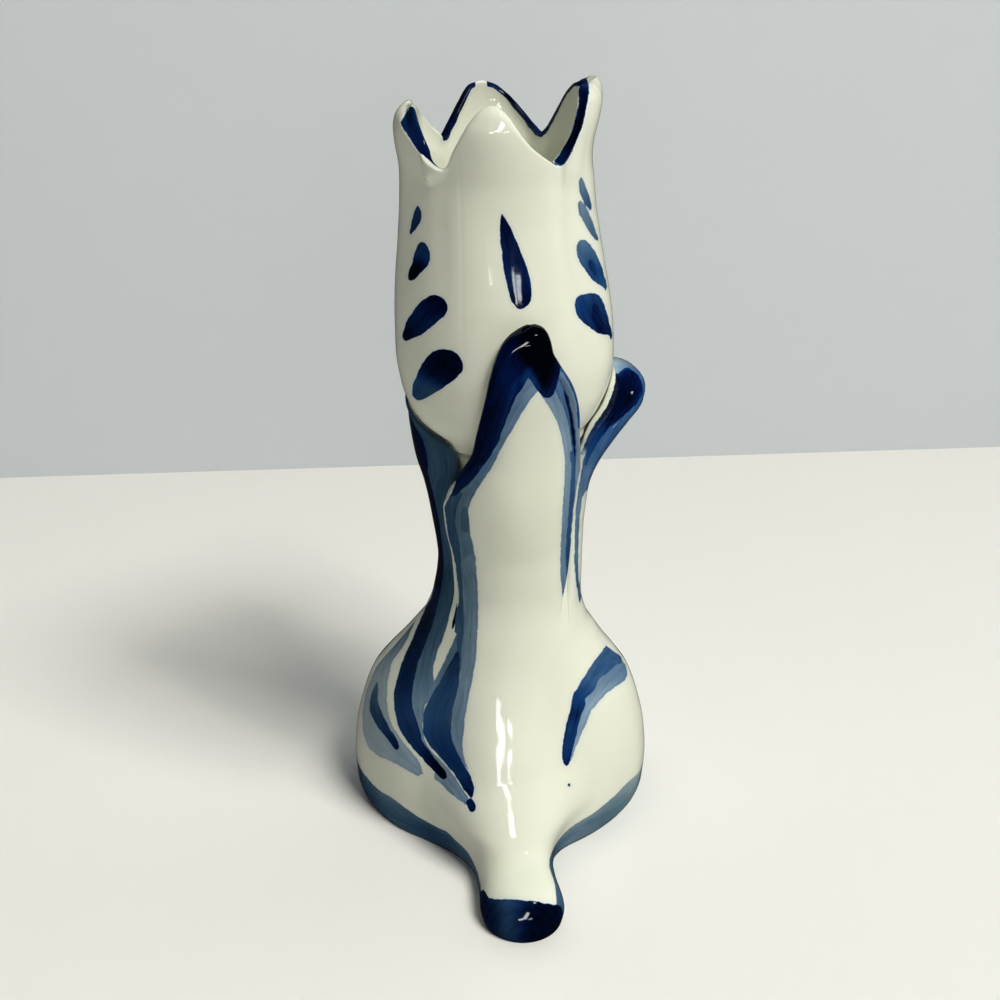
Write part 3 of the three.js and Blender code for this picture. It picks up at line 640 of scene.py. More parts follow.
def foot_band(P, outer):
    """The blue band round the foot, and the dark end of the toe."""
    az, z, x, y = P.az, P.z, P.v[:, 0], P.v[:, 1]
    zb = ring([-180, -165, -150, -135, -120, -105, -92, -82, -75, -64, -53, -47, -41, -34, -29, -21, -15, -10, -6.5, -3, 3, 10, 13.5, 15.5, 18, 27, 38.5, 52, 66, 78, 92, 105, 120, 135, 150, 165],
              [7.4, 7.9, 7.6, 8.2, 7.8, 8.3, 7.7, 7.8, 7.6, 8.0, 6.9, 6.1, 5.9, 5.8, 6.1, 5.1, 4.8, 3.8, 4.2, 1.0, 0.0, 0.0, 3.5, 7.3, 7.0, 5.3, 5.9, 6.3, 7.3, 8.1, 6.9, 7.7, 8.2, 7.4, 8.0, 7.3], az)
    band = zb - z
    cap_y = interp([-9, -3.8, -2.1, 2.0, 5.0, 8.2, 10.7, 12.0, 14.0], [-33, -38.9, -43.8, -46.0, -46.5, -46.3, -45.6, -44.4, -43.0], x)
    cap = (cap_y - y) * 0.85
    cap = np.minimum(cap, 9.9 - z)
    m = outer
    load_band = 0.50 + 0.12 * bell(z - 3.0, 2.4) - 0.16 * ease(25, 70, az) + 0.06 * ease(-20, -60, az) + 0.07 * np.sin(az * D * 7)
    load_cap = 1.0 + 0.1 * ease(3, 8, x) - 0.17 * bell(x - 1.5, 2.6)
    sd = np.where(m, np.clip(band, P.FAR, 9), P.FAR)
    take = sd > P.sd[1]
    P.sd[1] = np.where(take, sd, P.sd[1])
    P.load[1] = np.where(take, load_band, P.load[1])
    lead = sd + 0.6 > P.top
    P.s = np.where(lead & (sd > -1), z, P.s)
    P.t = np.where(lead & (sd > -1), az * D * 26, P.t)
    P.top = np.where(lead, sd + 0.6, P.top)
    sdc = np.where(m, np.clip(cap, P.FAR, 9), P.FAR)
    take = sdc > P.sd[2]
    P.sd[2] = np.where(take, sdc, P.sd[2])
    P.load[2] = np.where(take, load_cap, P.load[2])
    lead = sdc + 1.2 > P.top
    P.s = np.where(lead & (sdc > -1), y * 0.8, P.s)
    P.t = np.where(lead & (sdc > -1), x, P.t)


# Strokes on the foot, in pixels of the photograph's frame: (layer, outline, load, centre line)
WASH, BLUE, DARK = 0, 1, 2
BODY_STROKES = [
    # far left: pale wash with a thin dark stroke in it
    (WASH, [(437, 574), (430, 580), (424, 589), (413, 607), (402, 625), (391, 644), (380, 661), (372, 676), (366, 692), (363, 708), (362.5, 722), (363.5, 734), (366, 742), (371, 750), (379, 756), (390, 761), (400, 766), (408, 771), (415, 775), (419, 776), (421, 773.5), (423, 774), (421, 768), (419, 762), (415, 756), (410, 750), (404, 743), (398, 735), (393, 727), (389, 716), (387, 704), (387, 692), (388, 680), (390, 670), (391, 664), (397, 655), (404, 645), (410, 633), (416, 620), (423, 606), (430, 594), (437, 582)],
     [0.60, 0.52, 0.40, 0.28, 0.24, 0.25, 0.32], [(434, 580), (412, 615), (388, 655), (375, 690), (376, 720), (392, 748), (418, 772)]),
    (BLUE, [(377, 682), (373, 690), (370, 700), (369.5, 708), (371, 714), (374, 721), (379, 728), (384, 735), (389, 741), (393, 747), (396, 750), (398.5, 748), (398, 742), (394, 735), (390, 729), (386, 721), (382, 713), (379, 706), (377.5, 698), (378, 690)],
     [0.60, 0.78, 0.92], [(377, 686), (375, 706), (397, 748)]),
    # second: navy stroke that runs down from the left leaf
    (DARK, [(438, 578), (436, 586), (433, 594), (428, 603), (421, 618), (413, 638), (406, 653), (400, 668), (397, 680), (394.5, 690), (394, 702), (395, 712), (397, 721), (400, 730), (405, 738), (411, 746), (417, 753), (422, 758), (427, 764), (433, 770), (438, 775), (442, 778.5), (445.5, 779), (447, 776), (445, 771), (441, 766), (437, 761), (432, 755), (427, 748), (423, 742), (421, 735), (419, 727), (416, 718), (413, 708), (412, 698), (412.5, 690), (414, 680), (416, 670), (418, 662), (422, 652), (426, 642), (430, 632), (433, 622), (436, 612), (438, 602), (440, 590), (441, 578)],
     [0.92, 0.98, 0.97, 0.93, 0.80, 0.90, 1.16], [(439, 580), (428, 618), (410, 665), (403, 695), (406, 722), (422, 750), (443, 776)]),
    # slate between the navy stroke and the cobalt one, with its pale tail
    (WASH, [(438, 572), (446, 565), (452, 565), (453, 590), (452, 600), (449, 615), (447, 625), (443, 638), (439, 648), (435, 660), (433, 670), (434, 680), (433, 690), (431, 696), (427, 701), (424, 710), (423, 720), (423, 730), (425, 740), (430, 750), (437, 757), (445, 765), (452, 773), (458, 782), (463, 790), (467, 796), (469, 800), (466, 805), (462, 802), (455, 797), (447, 790), (440, 783), (434, 777), (436, 765), (425, 750), (416, 730), (409, 708), (409, 690), (414, 660), (426, 625), (434, 600), (437, 585)],
     [0.74, 0.70, 0.60, 0.50, 0.40, 0.36, 0.34, 0.40], [(446, 568), (442, 600), (432, 640), (423, 680), (418, 710), (424, 744), (446, 772), (466, 801)]),
    # slate strip that carries the front leaf's left band down
    (WASH, [(452, 552), (462, 548), (474, 552), (477, 580), (478, 600), (477.5, 620), (477, 640), (476, 655), (474, 670), (471, 685), (468, 700), (465.5, 715), (463.5, 730), (462.5, 742), (463, 752), (465, 761), (468, 769), (462, 764), (456, 755), (452, 746), (449, 735), (449, 722), (451, 708), (454, 694), (457, 684), (457, 672), (456, 660), (456, 645), (455.8, 632), (456, 618), (456.5, 600), (455, 580)],
     [0.46, 0.46, 0.45, 0.42, 0.40, 0.38], [(466, 552), (468, 600), (467, 650), (462, 700), (457, 730), (463, 762)]),
    (BLUE, [(452, 552), (458, 552), (460, 575), (463, 600), (464, 625), (462, 645), (461, 662), (459, 674), (457, 665), (457, 645), (458, 630), (458, 615), (457, 600), (455, 580)],
     [0.66, 0.70, 0.68], [(456, 555), (460, 610), (459, 668)]),
    (WASH, [(457.5, 633), (453.5, 641), (449, 651), (444, 662), (438.5, 673), (434, 681), (429, 691), (424, 702), (428, 703), (434, 693), (440, 683), (447, 672), (454, 661), (459, 652), (459.5, 640)],
     [0.56, 0.50, 0.44], [(457, 640), (445, 668), (427, 700)]),
    # cobalt stroke with its blob
    (DARK, [(458, 651), (452, 660), (447, 668), (443, 676), (439, 684), (434, 691), (429, 700), (425, 708), (423.5, 716), (423, 726), (424, 735), (428, 743), (434, 750), (440, 757), (446, 764), (452, 771), (457, 778), (461, 785), (464, 790), (468, 794), (471, 797.5), (473, 795), (474, 790), (473.5, 785), (471, 778), (468, 772), (464, 765), (460, 757), (456, 750), (452.5, 742), (451, 733), (451, 725), (452, 712), (455, 700), (458, 688), (459, 678), (459, 668), (459.5, 658)],
     [0.95, 0.80, 0.72, 0.70, 0.78, 0.84, 0.86, 1.02], [(458, 656), (447, 685), (438, 712), (438, 738), (452, 764), (471, 794)]),
    (DARK, [(466, 801), (470, 799.5), (474, 802), (476, 807), (474, 811), (470, 811.5), (467.5, 807)], 1.0, None),
    # a fired speck
    (DARK, [(567.2, 785), (569, 783.2), (570.9, 785), (569, 787)], 1.0, None),
    # painted shadow: a thin dark line of cobalt along the right side of the white strip, where its edge casts shade
    (DARK, [(457.6, 604), (455, 612), (452.6, 621), (451.3, 628.8), (453.4, 628.2), (455.8, 620.5), (457.6, 613)], 1.08, None),
    # right lobe
    (BLUE, [(607, 645), (600, 654), (594, 662), (589, 669), (585, 676), (580, 683), (577, 689.5), (574, 693), (572, 700), (571, 707), (569, 714), (567, 722), (565, 732), (563, 742), (562, 752), (563, 761), (566, 766), (569, 763), (571, 755), (574, 744), (576.5, 733), (579, 722), (582, 713), (584.5, 707), (585.5, 702), (585, 699), (590, 694), (595, 688), (597, 683), (600, 678), (606, 674), (612, 669), (617, 664.5), (622, 662), (620, 655), (613, 648)],
     [0.60, 0.62, 0.60, 0.78, 0.90, 0.82, 0.84, 0.95], [(611, 653), (597, 672), (586, 688), (578, 700), (573, 720), (568, 742), (566, 762)]),
    (WASH, [(607, 647), (614, 652), (620, 657), (625, 664), (627, 670), (627, 675), (625, 680), (620, 684), (614, 688), (608, 692), (602, 698), (597, 704), (592.5, 709), (590, 714), (588, 719), (585, 726), (581, 735), (577, 745), (573, 755), (569, 762), (566, 750), (571, 725), (576, 705), (583, 690), (595, 670)],
     [0.44, 0.36, 0.32, 0.36, 0.32], [(618, 664), (600, 685), (587, 708), (572, 755)]),
]

# Strokes where the photograph doesn't reach, by (azimuth, height): the same hand, round the back
BACK_STROKES = [
    (WASH, [(128, 57), (119, 47), (110, 36), (106, 27), (107, 19), (112, 15), (119, 14), (122, 18), (121, 26), (124, 35), (131, 45), (138, 55)], [0.6, 0.45, 0.34, 0.34, 0.4], [(134, 57), (119, 36), (115, 16)], 118, 33),
    (BLUE, [(139, 56), (134, 48), (128, 39), (125.5, 30), (126, 22), (129, 15), (132, 13), (134, 17), (134, 25), (137, 34), (142, 44), (146, 54)], [0.8, 0.95, 0.78, 0.85, 1.08], [(143, 56), (130, 33), (131, 14)], 131, 33),
    (WASH, [(150, 55), (147, 45), (142, 36), (138, 27), (138, 19), (142, 14), (147, 12), (150, 17), (150, 27), (154, 37), (158, 47), (160, 55)], [0.62, 0.5, 0.42, 0.36, 0.4], [(156, 56), (147, 35), (145, 13)], 148, 31),
    (DARK, [(163, 56), (160, 47), (155, 39), (152.5, 30), (153, 22), (157, 15), (160, 12.5), (162, 16), (161.5, 24), (163, 33), (167, 43), (169, 54)], [0.95, 0.8, 0.72, 0.8, 1.05], [(167, 57), (158, 34), (159.5, 13)], 160, 30),
    (DARK, [(-163, 56), (-164, 47), (-160, 38), (-156, 30), (-154, 22), (-156, 16), (-158.5, 13), (-161, 17), (-162.5, 25), (-166, 34), (-170, 44), (-170, 55)], [0.95, 0.82, 0.74, 0.8, 1.05], [(-167, 57), (-161, 33), (-157.5, 14)], -162, 30),
    (WASH, [(-150, 56), (-149, 46), (-144, 37), (-139, 28), (-138, 20), (-141, 14), (-146, 12), (-149, 17), (-150, 26), (-154, 36), (-159, 46), (-160, 56)], [0.6, 0.5, 0.4, 0.36, 0.4], [(-155, 57), (-148, 34), (-144, 13)], -149, 31),
    (BLUE, [(-139, 57), (-135, 47), (-129, 38), (-124, 29), (-122.5, 21), (-125, 15), (-128, 12.5), (-130.5, 16), (-131, 24), (-135, 33), (-142, 43), (-147, 54)], [0.82, 0.96, 0.8, 0.85, 1.08], [(-143, 57), (-129, 32), (-127.5, 14)], -133, 33),
    (WASH, [(-122, 57), (-116, 48), (-111, 38), (-107, 29), (-106.5, 21), (-109, 15.5), (-114, 14), (-117, 18), (-117, 27), (-121, 37), (-128, 47), (-133, 56)], [0.62, 0.5, 0.4, 0.36, 0.4], [(-127, 58), (-114, 34), (-112, 15)], -117, 33),
]

BLOOM_STROKES = [
    # left column, top to bottom
    (DARK, [(418, 206), (420.5, 210), (421.5, 215), (420, 222), (416.5, 228), (412, 233.5), (410, 235), (409.5, 231), (411, 224), (413, 216), (415.5, 209)], [0.86, 0.90], [(418, 206), (410, 235)]),
    (DARK, [(421, 242), (425.5, 244), (429, 250), (430, 257), (428, 264), (423.5, 270), (418, 276), (413, 280), (410, 280.5), (408.3, 277), (409.5, 270), (412.5, 262), (414, 254), (417, 247)], [0.88, 0.84, 1.14, 1.16], [(424, 244), (411, 280)]),
    (DARK, [(434, 295), (440, 296.5), (445, 301), (447.5, 308), (445, 315), (438, 321), (430, 328), (420, 335), (411, 339), (406, 341), (403, 337), (403.5, 330), (407, 321), (412, 313), (418, 305), (426, 298)], [1.12, 1.0, 0.92, 0.96, 1.14], [(442, 298), (405, 339)]),
    (DARK, [(446, 349), (453, 351), (459, 356), (462.5, 363), (463, 369), (458, 376), (450, 383), (441, 389), (431, 395), (423, 399.5), (417, 400), (412.5, 395), (412.5, 388), (415, 379), (419, 370), (424, 361), (430, 354), (438, 350)], [1.10, 1.08, 1.0, 0.74, 0.76], [(452, 352), (430, 375), (417, 398)]),
    # centre
    (DARK, [(502, 212.5), (503.5, 216), (508, 223), (512, 231), (516, 240), (520, 250), (524, 260), (527.5, 269), (530, 279), (531.2, 289), (531, 299), (528.5, 304), (524.5, 307.5), (519.5, 309), (515, 306), (511, 300), (508.5, 291), (506, 280), (503.5, 267), (501.5, 252), (500.2, 238), (500, 226), (500.7, 218)], [1.12, 0.98, 1.0, 0.96, 1.06], [(502, 213), (520, 307)]),
    # right column
    (WASH, [(581.5, 177), (584, 182), (587, 190), (590, 199), (592, 206), (591, 210.5), (588, 208), (584, 202), (580.5, 195), (579, 187), (579.5, 180)], [0.50, 0.56, 0.72], [(581, 178), (591, 210)]),
    (WASH, [(579.5, 200.5), (583, 203), (587, 209), (591, 218), (595, 229), (598, 238), (597, 240.5), (594, 238), (589, 231), (583.5, 222), (579.5, 214), (578, 206)], [0.46, 0.5, 0.60], [(580, 201), (597, 240)]),
    (BLUE, [(580, 240), (584, 240), (589, 243), (594, 250), (598.5, 259), (602.5, 270), (605.5, 280), (607, 288), (605.5, 290), (602, 286.5), (598, 284), (592, 279), (586, 271), (580.5, 263), (577, 254), (577, 245)], [0.52, 0.60, 0.78, 0.66], [(581, 241), (592, 268), (606, 289)]),
    (BLUE, [(588, 293.5), (596, 294), (601, 298), (604.5, 306), (607.5, 315), (610, 325), (612, 334), (611, 339.5), (608.5, 335), (604, 334.5), (598, 333), (590, 328), (581, 320), (576, 312), (575, 302), (579, 296)], [0.76, 0.84, 0.90, 1.0], [(586, 294), (592, 315), (609, 338)]),
    (DARK, [(594, 303), (598, 306), (601, 314), (603, 323), (603.5, 331), (599, 331), (595, 326), (592.5, 317), (592, 308)], [0.96, 1.0], [(596, 304), (600, 330)]),
    (DARK, [(590, 259), (593, 262), (596, 269), (597, 275), (594, 274.5), (590.5, 270), (588.5, 263)], 0.86, [(590, 260), (596, 274)]),
]


def bloom_back_strokes():
    """Each petal carries a centre stroke, and a column of four petal strokes runs down below every notch."""
    out = []
    for c, m in ((92, 1), (-100, -1), (174, 1)):
        top = [(c, 138.5), (c + 1.2 * m, 134), (c + 3.6 * m, 127), (c + 5.2 * m, 121), (c + 4.6 * m, 118.4), (c + 2.4 * m, 118.6), (c - 0.2 * m, 123), (c - 1.0 * m, 130), (c - 0.8 * m, 136)]
        out.append((DARK, top, [1.0, 0.88, 0.92, 1.0], [(c, 138), (c + 3.5 * m, 119)], c, 21))
    for c, m in ((-140, -1), (150, 1)):
        for k, (z, w, h, ld) in enumerate([(138, 3.0, 7.5, 0.62), (129, 4.6, 8.5, 0.8), (118.5, 6.6, 10.0, 0.9), (107.5, 7.4, 10.5, 0.96)]):
            for side in (-1, 1):
                a = c + side * (7.5 + 1.7 * k)
                dx = side * w * 0.9
                poly = [(a - dx * 0.2, z + h * 0.5), (a + dx * 0.55, z + h * 0.40), (a + dx * 1.1, z + h * 0.08), (a + dx * 1.0, z - h * 0.30), (a + dx * 1.35, z - h * 0.52), (a + dx * 0.2, z - h * 0.36), (a - dx * 0.45, z - h * 0.02), (a - dx * 0.6, z + h * 0.3)]
                out.append((DARK if (k + side) % 3 else BLUE, poly, [ld, ld - 0.08, ld + 0.14], [(a, z + h * 0.5), (a + dx, z - h * 0.5)], c, 21))
    return out


def bloom_piece():
    cols = np.concatenate([np.arange(-180, -92, 1.1), np.arange(-92, -50, 0.9), np.arange(-50, -24, 0.5), np.arange(-24, 30, 0.95), np.arange(30, 64, 0.65), np.arange(64, 100, 0.9), np.arange(100, 179.6, 1.1)])
    rings, outer, lip = [], [], []

    def put(r, z, o, c):
        z = np.broadcast_to(z, cols.shape)
        rings.append(np.stack([axis_x(z) + r * np.sin(cols * D), -r * np.cos(cols * D), z], -1))
        outer.append(np.full(cols.shape, o))
        lip.append(np.broadcast_to(c, cols.shape).astype(float))
    zo, zi, st = rim_out(cols), rim_in(cols), rim_stretch(cols)
    # a thick rolled shoulder at the tips of the side petals
    tip = np.maximum(ease(-124, -100, cols) * (1 - ease(-80, -56, cols)), ease(53, 76, cols) * (1 - ease(84, 106, cols)))
    fore = bell(cols + 4, 13)
    w = 2.5 + 1.25 * tip + 0.3 * fore
    ro = 0.5 + 2.0 * tip + 0.7 * fore
    vo = 0.5 * st + 3.6 * tip + 1.6 * fore
    ri, vi = 0.5, 0.5 * st
    for z in np.concatenate([[88.0, 88.2, 88.5, 88.9, 89.4, 89.9, 90.5], np.arange(91.1, 141, 0.52)]):
        zz = np.full(cols.shape, z)
        put(bloom_r(cols, zz), zz, 1.0, -9.0)
    edge = zo - vo
    for t in np.linspace(0, 1, 44, endpoint=False):
        zz = lerp(141.0, edge, t)
        put(bloom_r(cols, zz), zz, 1.0, -(edge - zz) / st)
    n = 9
    for th in np.linspace(0, math.pi / 2, n):
        zz = zo - vo * (1 - math.sin(th))
        put(bloom_r(cols, zz) - ro * (1 - math.cos(th)), zz, 1.0 if th < 0.1 else 0.5, ro * (th / (math.pi / 2)))
    base = bloom_r(cols, zo)
    for t in (0.2, 0.4, 0.6, 0.8):
        c = lerp(ro, w - ri, t)
        put(base - c, lerp(zo, zi, t) - 0.05 * math.sin(math.pi * t), 0.5, c)
    for th in np.linspace(math.pi / 2, 0, 6):
        zz = zi - vi * (1 - math.sin(th))
        put(base - (w - ri) - ri * math.cos(th), zz, 0.5, w - ri + ri * (1 - th / (math.pi / 2)))
    edge = zi - vi
    low = 138.0
    for t in np.linspace(0.03, 1, 26) ** 1.3:
        zz = lerp(edge, low, t)
        rr = bloom_r(cols, zz) - lerp(w, 2.75, t)
        put(lerp(base - w, rr, ease(0, 0.35, t)), zz, 0.0, w + (edge - zz) / st)
    for z, k in zip([134, 130, 127, 123, 119, 115, 111, 107.5, 104, 101, 98, 96, 94, 92.5, 91, 90], [2.8, 2.85, 2.9, 2.95, 3.0, 3.05, 3.1, 3.2, 3.3, 3.6, 4.2, 5.0, 6.0, 6.6, 6.9, 5.9]):
        zz = np.full(cols.shape, float(z))
        put(np.maximum(bloom_r(cols, zz) - k, BORE_R), zz, 0.0, 30.0)
    for r in (BORE_R, BORE_R + 0.4, 6.2):
        put(np.full(cols.shape, r), np.full(cols.shape, 88.0), 0.0, 30.0)
    return np.array(rings), np.array(outer), np.array(lip), np.broadcast_to(w, (len(rings), len(cols)))


# The painted part of the two side petals' edges, in pixels of the photograph's frame
LIP_LEFT = [(401, 121.5), (404, 116), (408, 108.5), (411, 106.6), (414, 107.6), (416, 112), (418, 118), (422, 130), (426, 142), (430.5, 150.5), (435, 158), (440.5, 165.5), (440, 167), (435, 165.3), (430, 161), (424, 155.6), (419, 152), (414, 145), (409, 137), (404, 129), (401.3, 124)]
LIP_RIGHT = [(560, 166), (564, 164.5), (567, 161), (570, 156), (573, 149), (577, 140), (580.5, 130), (583.5, 120), (586, 110), (587.7, 100), (588.8, 92), (588.6, 86), (587, 80.5), (584, 77.6), (580, 78.6), (576.5, 81.5), (573.6, 85.5), (576, 88.5), (578.4, 92), (579.3, 98), (578.3, 107), (575.3, 118), (571.2, 130), (567, 140), (562, 149.5), (558, 156.5), (554.5, 161), (557, 164.5)]


def rim_paint(P, lip, w, rows_lip):
    """Dark blue on the cut edge of the petals, left white at three of the tips."""
    az = wrap(P.az)
    c = lip
    sd = np.minimum(c - 0.42, (w + 0.35) - c)
    arc = lambda a0: np.abs(wrap(az - a0)) * D * 18.5
    sd = np.minimum(sd, arc(-169) - 1.25)
    sd = np.minimum(sd, np.maximum(-wrap(az + 137) * D * 19, (az - 20) * 0.3))     # the left petal's white tip and back edge
    # front petal: only its right edge, thin and pale
    front = (az > -33) & (az < 38.0)
    sd = np.where(front, np.minimum(np.minimum(sd - 0.35, (az - 9) * D * 18.5), 9), sd)
    # side petals: as the brush left them
    near = rows_lip & (c > np.where(az > 86, -0.2, -3.5)) & (c < w + 0.9)
    for poly, lo, hi in ((LIP_LEFT, -93, -31), (LIP_RIGHT, 37, 112)):
        m = (az > lo) & (az < hi)
        e = spline(poly)
        idx = np.nonzero(m)[0]
        d = poly_sd(P.px[idx], e) / 5.1
        sd[idx] = np.where(near[idx], d, P.FAR)
    sd = np.clip(sd, P.FAR, 9)
    load = np.where(front, 0.72, 1.02) + 0.08 * np.sin(az * D * 9) + 0.05 * np.sin(az * D * 23 + 1)
    load = np.where((az > -90) & (az < -40), 0.93 + 0.10 * ease(-60, -42, az), load)
    take = sd > P.sd[2]
    P.sd[2] = np.where(take, sd, P.sd[2])
    P.load[2] = np.where(take, load, P.load[2])
    lead = sd + 1.2 > P.top
    P.s = np.where(lead, c, P.s)
    P.t = np.where(lead, az * D * 18.5, P.t)


# ------------------------------------------------------------------ leaves: strokes
FRONT_LEAF_STROKES = [
    # pale slate band inside the dark one, left side, and down the left margin
    (WASH, [(541, 384), (537, 392), (530, 400.5), (522, 413), (512, 430), (503, 445), (497, 458), (490, 470), (482, 482), (475, 493), (470, 503), (468.5, 512), (469, 520), (470.5, 535), (474, 550), (476, 565), (477, 580), (478, 600), (478, 625), (477.5, 645), (476, 662), (468, 668), (450, 662), (446, 620), (440, 570), (434, 520), (434, 498), (445, 478), (463, 455), (474, 430), (484, 395), (498, 365), (515, 350)],
     [0.40, 0.44, 0.48, 0.50, 0.50, 0.48, 0.45, 0.45], [(532, 388), (512, 415), (495, 448), (475, 480), (464, 505), (464, 540), (468, 580), (468, 660)]),
    # darker grey-blue along the left margin, below the bend
    (BLUE, [(452, 488), (462, 493), (459, 501), (456, 512), (456.5, 530), (460, 548), (461.5, 570), (463, 595), (463.5, 615), (462, 636), (460.5, 652), (457, 662), (450, 650), (448, 620), (444, 590), (440, 560), (436, 530), (436, 500)],
     [0.72, 0.72, 0.70, 0.68, 0.68, 0.66], [(452, 492), (450, 520), (456, 560), (459, 600), (460, 655)]),
    (BLUE, [(464, 507), (467.5, 511), (469.2, 520), (468.5, 530), (465, 533), (461, 527), (460.5, 515)], 0.60, None),
    # the dark band: over the tip, down the left side, with a short branch on the right
    (DARK, [(528.3, 378), (522, 388), (517.5, 395), (513.5, 402), (509.5, 412), (506, 421), (502, 432), (496.5, 445), (489, 458), (481, 469), (471, 481.5), (463, 489), (456, 495.3), (450, 496), (444, 492), (440, 485), (452, 468), (466, 448), (474, 425), (482, 390), (492, 355), (505, 330), (520, 318), (538, 314), (552, 320), (562, 345), (560, 372), (556, 388), (551.5, 396.5), (546, 398), (540.5, 394), (534, 385.5)],
     [1.16, 1.08, 0.98, 1.0, 1.04, 1.02, 1.0, 0.98], [(536, 325), (524, 350), (508, 385), (497, 415), (488, 440), (474, 465), (452, 490)]),
    # right side: pale band, streaks in it
    (WASH, [(537, 386), (541, 395), (547, 404), (552, 412), (557, 422), (562, 440), (564.5, 460), (564.5, 480), (563.2, 500), (561.5, 530), (560.3, 560), (561, 580), (562.5, 592), (565.5, 603), (568, 609.5), (570, 609), (570.8, 603), (570, 592), (569.6, 575), (570, 550), (571.6, 525), (574, 505), (578, 480), (586, 450), (592, 420), (592, 395), (582, 372), (566, 355), (552, 346), (545, 365)],
     [0.42, 0.36, 0.34, 0.36, 0.40, 0.42, 0.46, 0.56], [(546, 372), (557, 408), (566, 450), (566, 510), (565, 570), (568, 609)]),
    (BLUE, [(553, 366), (558, 374), (563, 384), (568, 395), (572, 409), (574.5, 423), (576, 440), (576, 456), (574.8, 470), (573.2, 462), (572, 448), (570.5, 436), (567.5, 420), (563, 406), (557, 394), (552, 384)],
     [0.52, 0.56, 0.62, 0.66], [(554, 372), (567, 405), (575, 465)]),
    (BLUE, [(551, 353), (558, 360), (566, 367), (573, 377), (579, 389), (584, 402), (583, 417), (579.5, 428), (577.8, 427), (577.2, 416), (576.5, 404), (573, 392), (567.5, 381), (560.5, 371), (553, 364)],
     [0.62, 0.70, 0.78, 0.70], [(552, 357), (570, 378), (580, 425)]),
    (DARK, [(563.5, 389), (567, 396), (570.2, 407), (572.6, 419), (574.3, 433), (575.2, 446), (574.9, 458), (573.7, 449), (572.3, 437), (570.6, 424), (568, 411), (565.2, 400)], [0.98, 1.12, 0.95], [(564, 391), (574.5, 456)]),
    (BLUE, [(570, 452), (571.3, 468), (570.6, 486), (569, 506), (567.2, 530), (566.2, 553), (566.4, 572), (567.6, 584), (569.3, 586), (569.9, 570), (570.3, 550), (571.4, 530), (573, 510), (574.6, 492), (575.6, 474), (574, 456)], [0.62, 0.66, 0.72, 0.84], [(572, 455), (571, 495), (568, 545), (568.6, 585)]),
    (BLUE, [(561.8, 590), (563.6, 598.5), (566.2, 606), (568.3, 610), (570.2, 608), (570.7, 600), (569.8, 590), (567.8, 583), (565, 592)], [0.66, 0.84], [(566, 588), (568.6, 609)]),
]
FRONT_LEAF_POOLS_AND_GLEAM = [
    # (layer, outline, change of load, softness in mm): pigment that ran together before firing, darker at the tip and
    # lighter below it, and a painted highlight down the rolled left edge
    (DARK, [(536, 322), (551, 332), (554, 352), (551, 378), (545, 388), (538, 378), (530, 366), (521, 356), (520, 340), (526, 328)], 0.20, 1.0),
    (DARK, [(524, 371), (532, 368), (537, 378), (540, 390), (530, 382), (521, 384)], -0.12, 0.6),
    # painted highlight: lighter pigment in a thin streak down the rolled left edge, where it catches the light
    (DARK, [(519, 380), (514, 396), (506, 418), (500, 436), (494, 448), (500, 428), (506, 405), (513, 386)], -0.10, 0.7),
]
RIGHT_LEAF_STROKES = [
    (WASH, [(612.6, 356), (613, 378), (606, 390), (600.3, 400), (597, 410), (592.3, 428), (588, 445), (583.2, 462), (579.8, 480), (576.6, 500), (574.8, 530), (574.5, 560), (576, 580), (578.3, 594), (580, 604.5), (581, 602), (580.6, 592), (578.8, 578), (578.2, 560), (578.7, 535), (580.5, 512), (585, 492), (606, 480), (632, 446), (658, 412), (662, 372), (640, 352), (624, 350)],
     [0.26, 0.60, 0.60, 0.56, 0.50, 0.46, 0.52, 0.56, 0.62], [(615, 362), (634, 374), (605, 425), (592, 455), (584, 480), (578, 520), (576.5, 560), (580, 604)]),
    (BLUE, [(613.5, 379), (606.5, 390.5), (601, 400.5), (597.6, 411), (593.4, 427), (589.4, 442), (586.2, 456), (585.6, 466), (589.8, 458), (596, 446), (603, 435), (611, 426), (621, 418), (632, 408), (638, 401), (643, 391), (640.5, 380), (635, 372.5), (628, 368), (621, 371)],
     [0.84, 1.0, 0.98, 0.84, 0.66], [(634, 372), (612, 405), (597, 432), (587, 462)]),
    (DARK, [(627, 370), (619, 376.5), (612, 385), (606.5, 394), (602.6, 404), (600.4, 413), (602.6, 419.5), (609.5, 419.3), (617.5, 415), (625.5, 408), (633, 401), (638.5, 394.5), (641.2, 386), (639.2, 378), (634, 371.5)], [1.0, 1.08, 1.0], [(632, 374), (604, 417)]),
]


def leaf_fields(name, P3, S, B):
    """Distances in mm from the two margins, for every point of a leaf, straight across and along the skin.
    Along the skin a distance is negative behind the margin."""
    rows = len(P3)
    half = np.array([leaf_section(name, float(P3[i, 0, 2]))[7] for i in range(rows)])[:, None]
    dl, dr = (S + 1) * half, (1 - S) * half
    e = np.minimum(1.5, half)

    def skin(d):
        th = np.arccos(np.clip((e - d) / e, 0, 1))
        return np.where(B > 0.5, 1.0, -1.0) * (th * 1.55 + np.maximum(d - e, 0))
    return dl, dr, skin(dl), skin(dr)


def set_layer(P, layer, sd, load, across=None, along_=None, bias=0.0):
    """Lays a stroke given directly as a field of distances."""
    sd = np.clip(sd, P.FAR, 9.0)
    take = sd > P.sd[layer]
    P.sd[layer] = np.where(take, sd, P.sd[layer])
    P.load[layer] = np.where(take, load, P.load[layer])
    lead = sd + layer * 0.6 + bias > P.top
    if across is not None:
        P.s = np.where(lead, across, P.s)
        P.t = np.where(lead, along_, P.t)
    P.top = np.where(lead, sd + layer * 0.6 + bias, P.top)


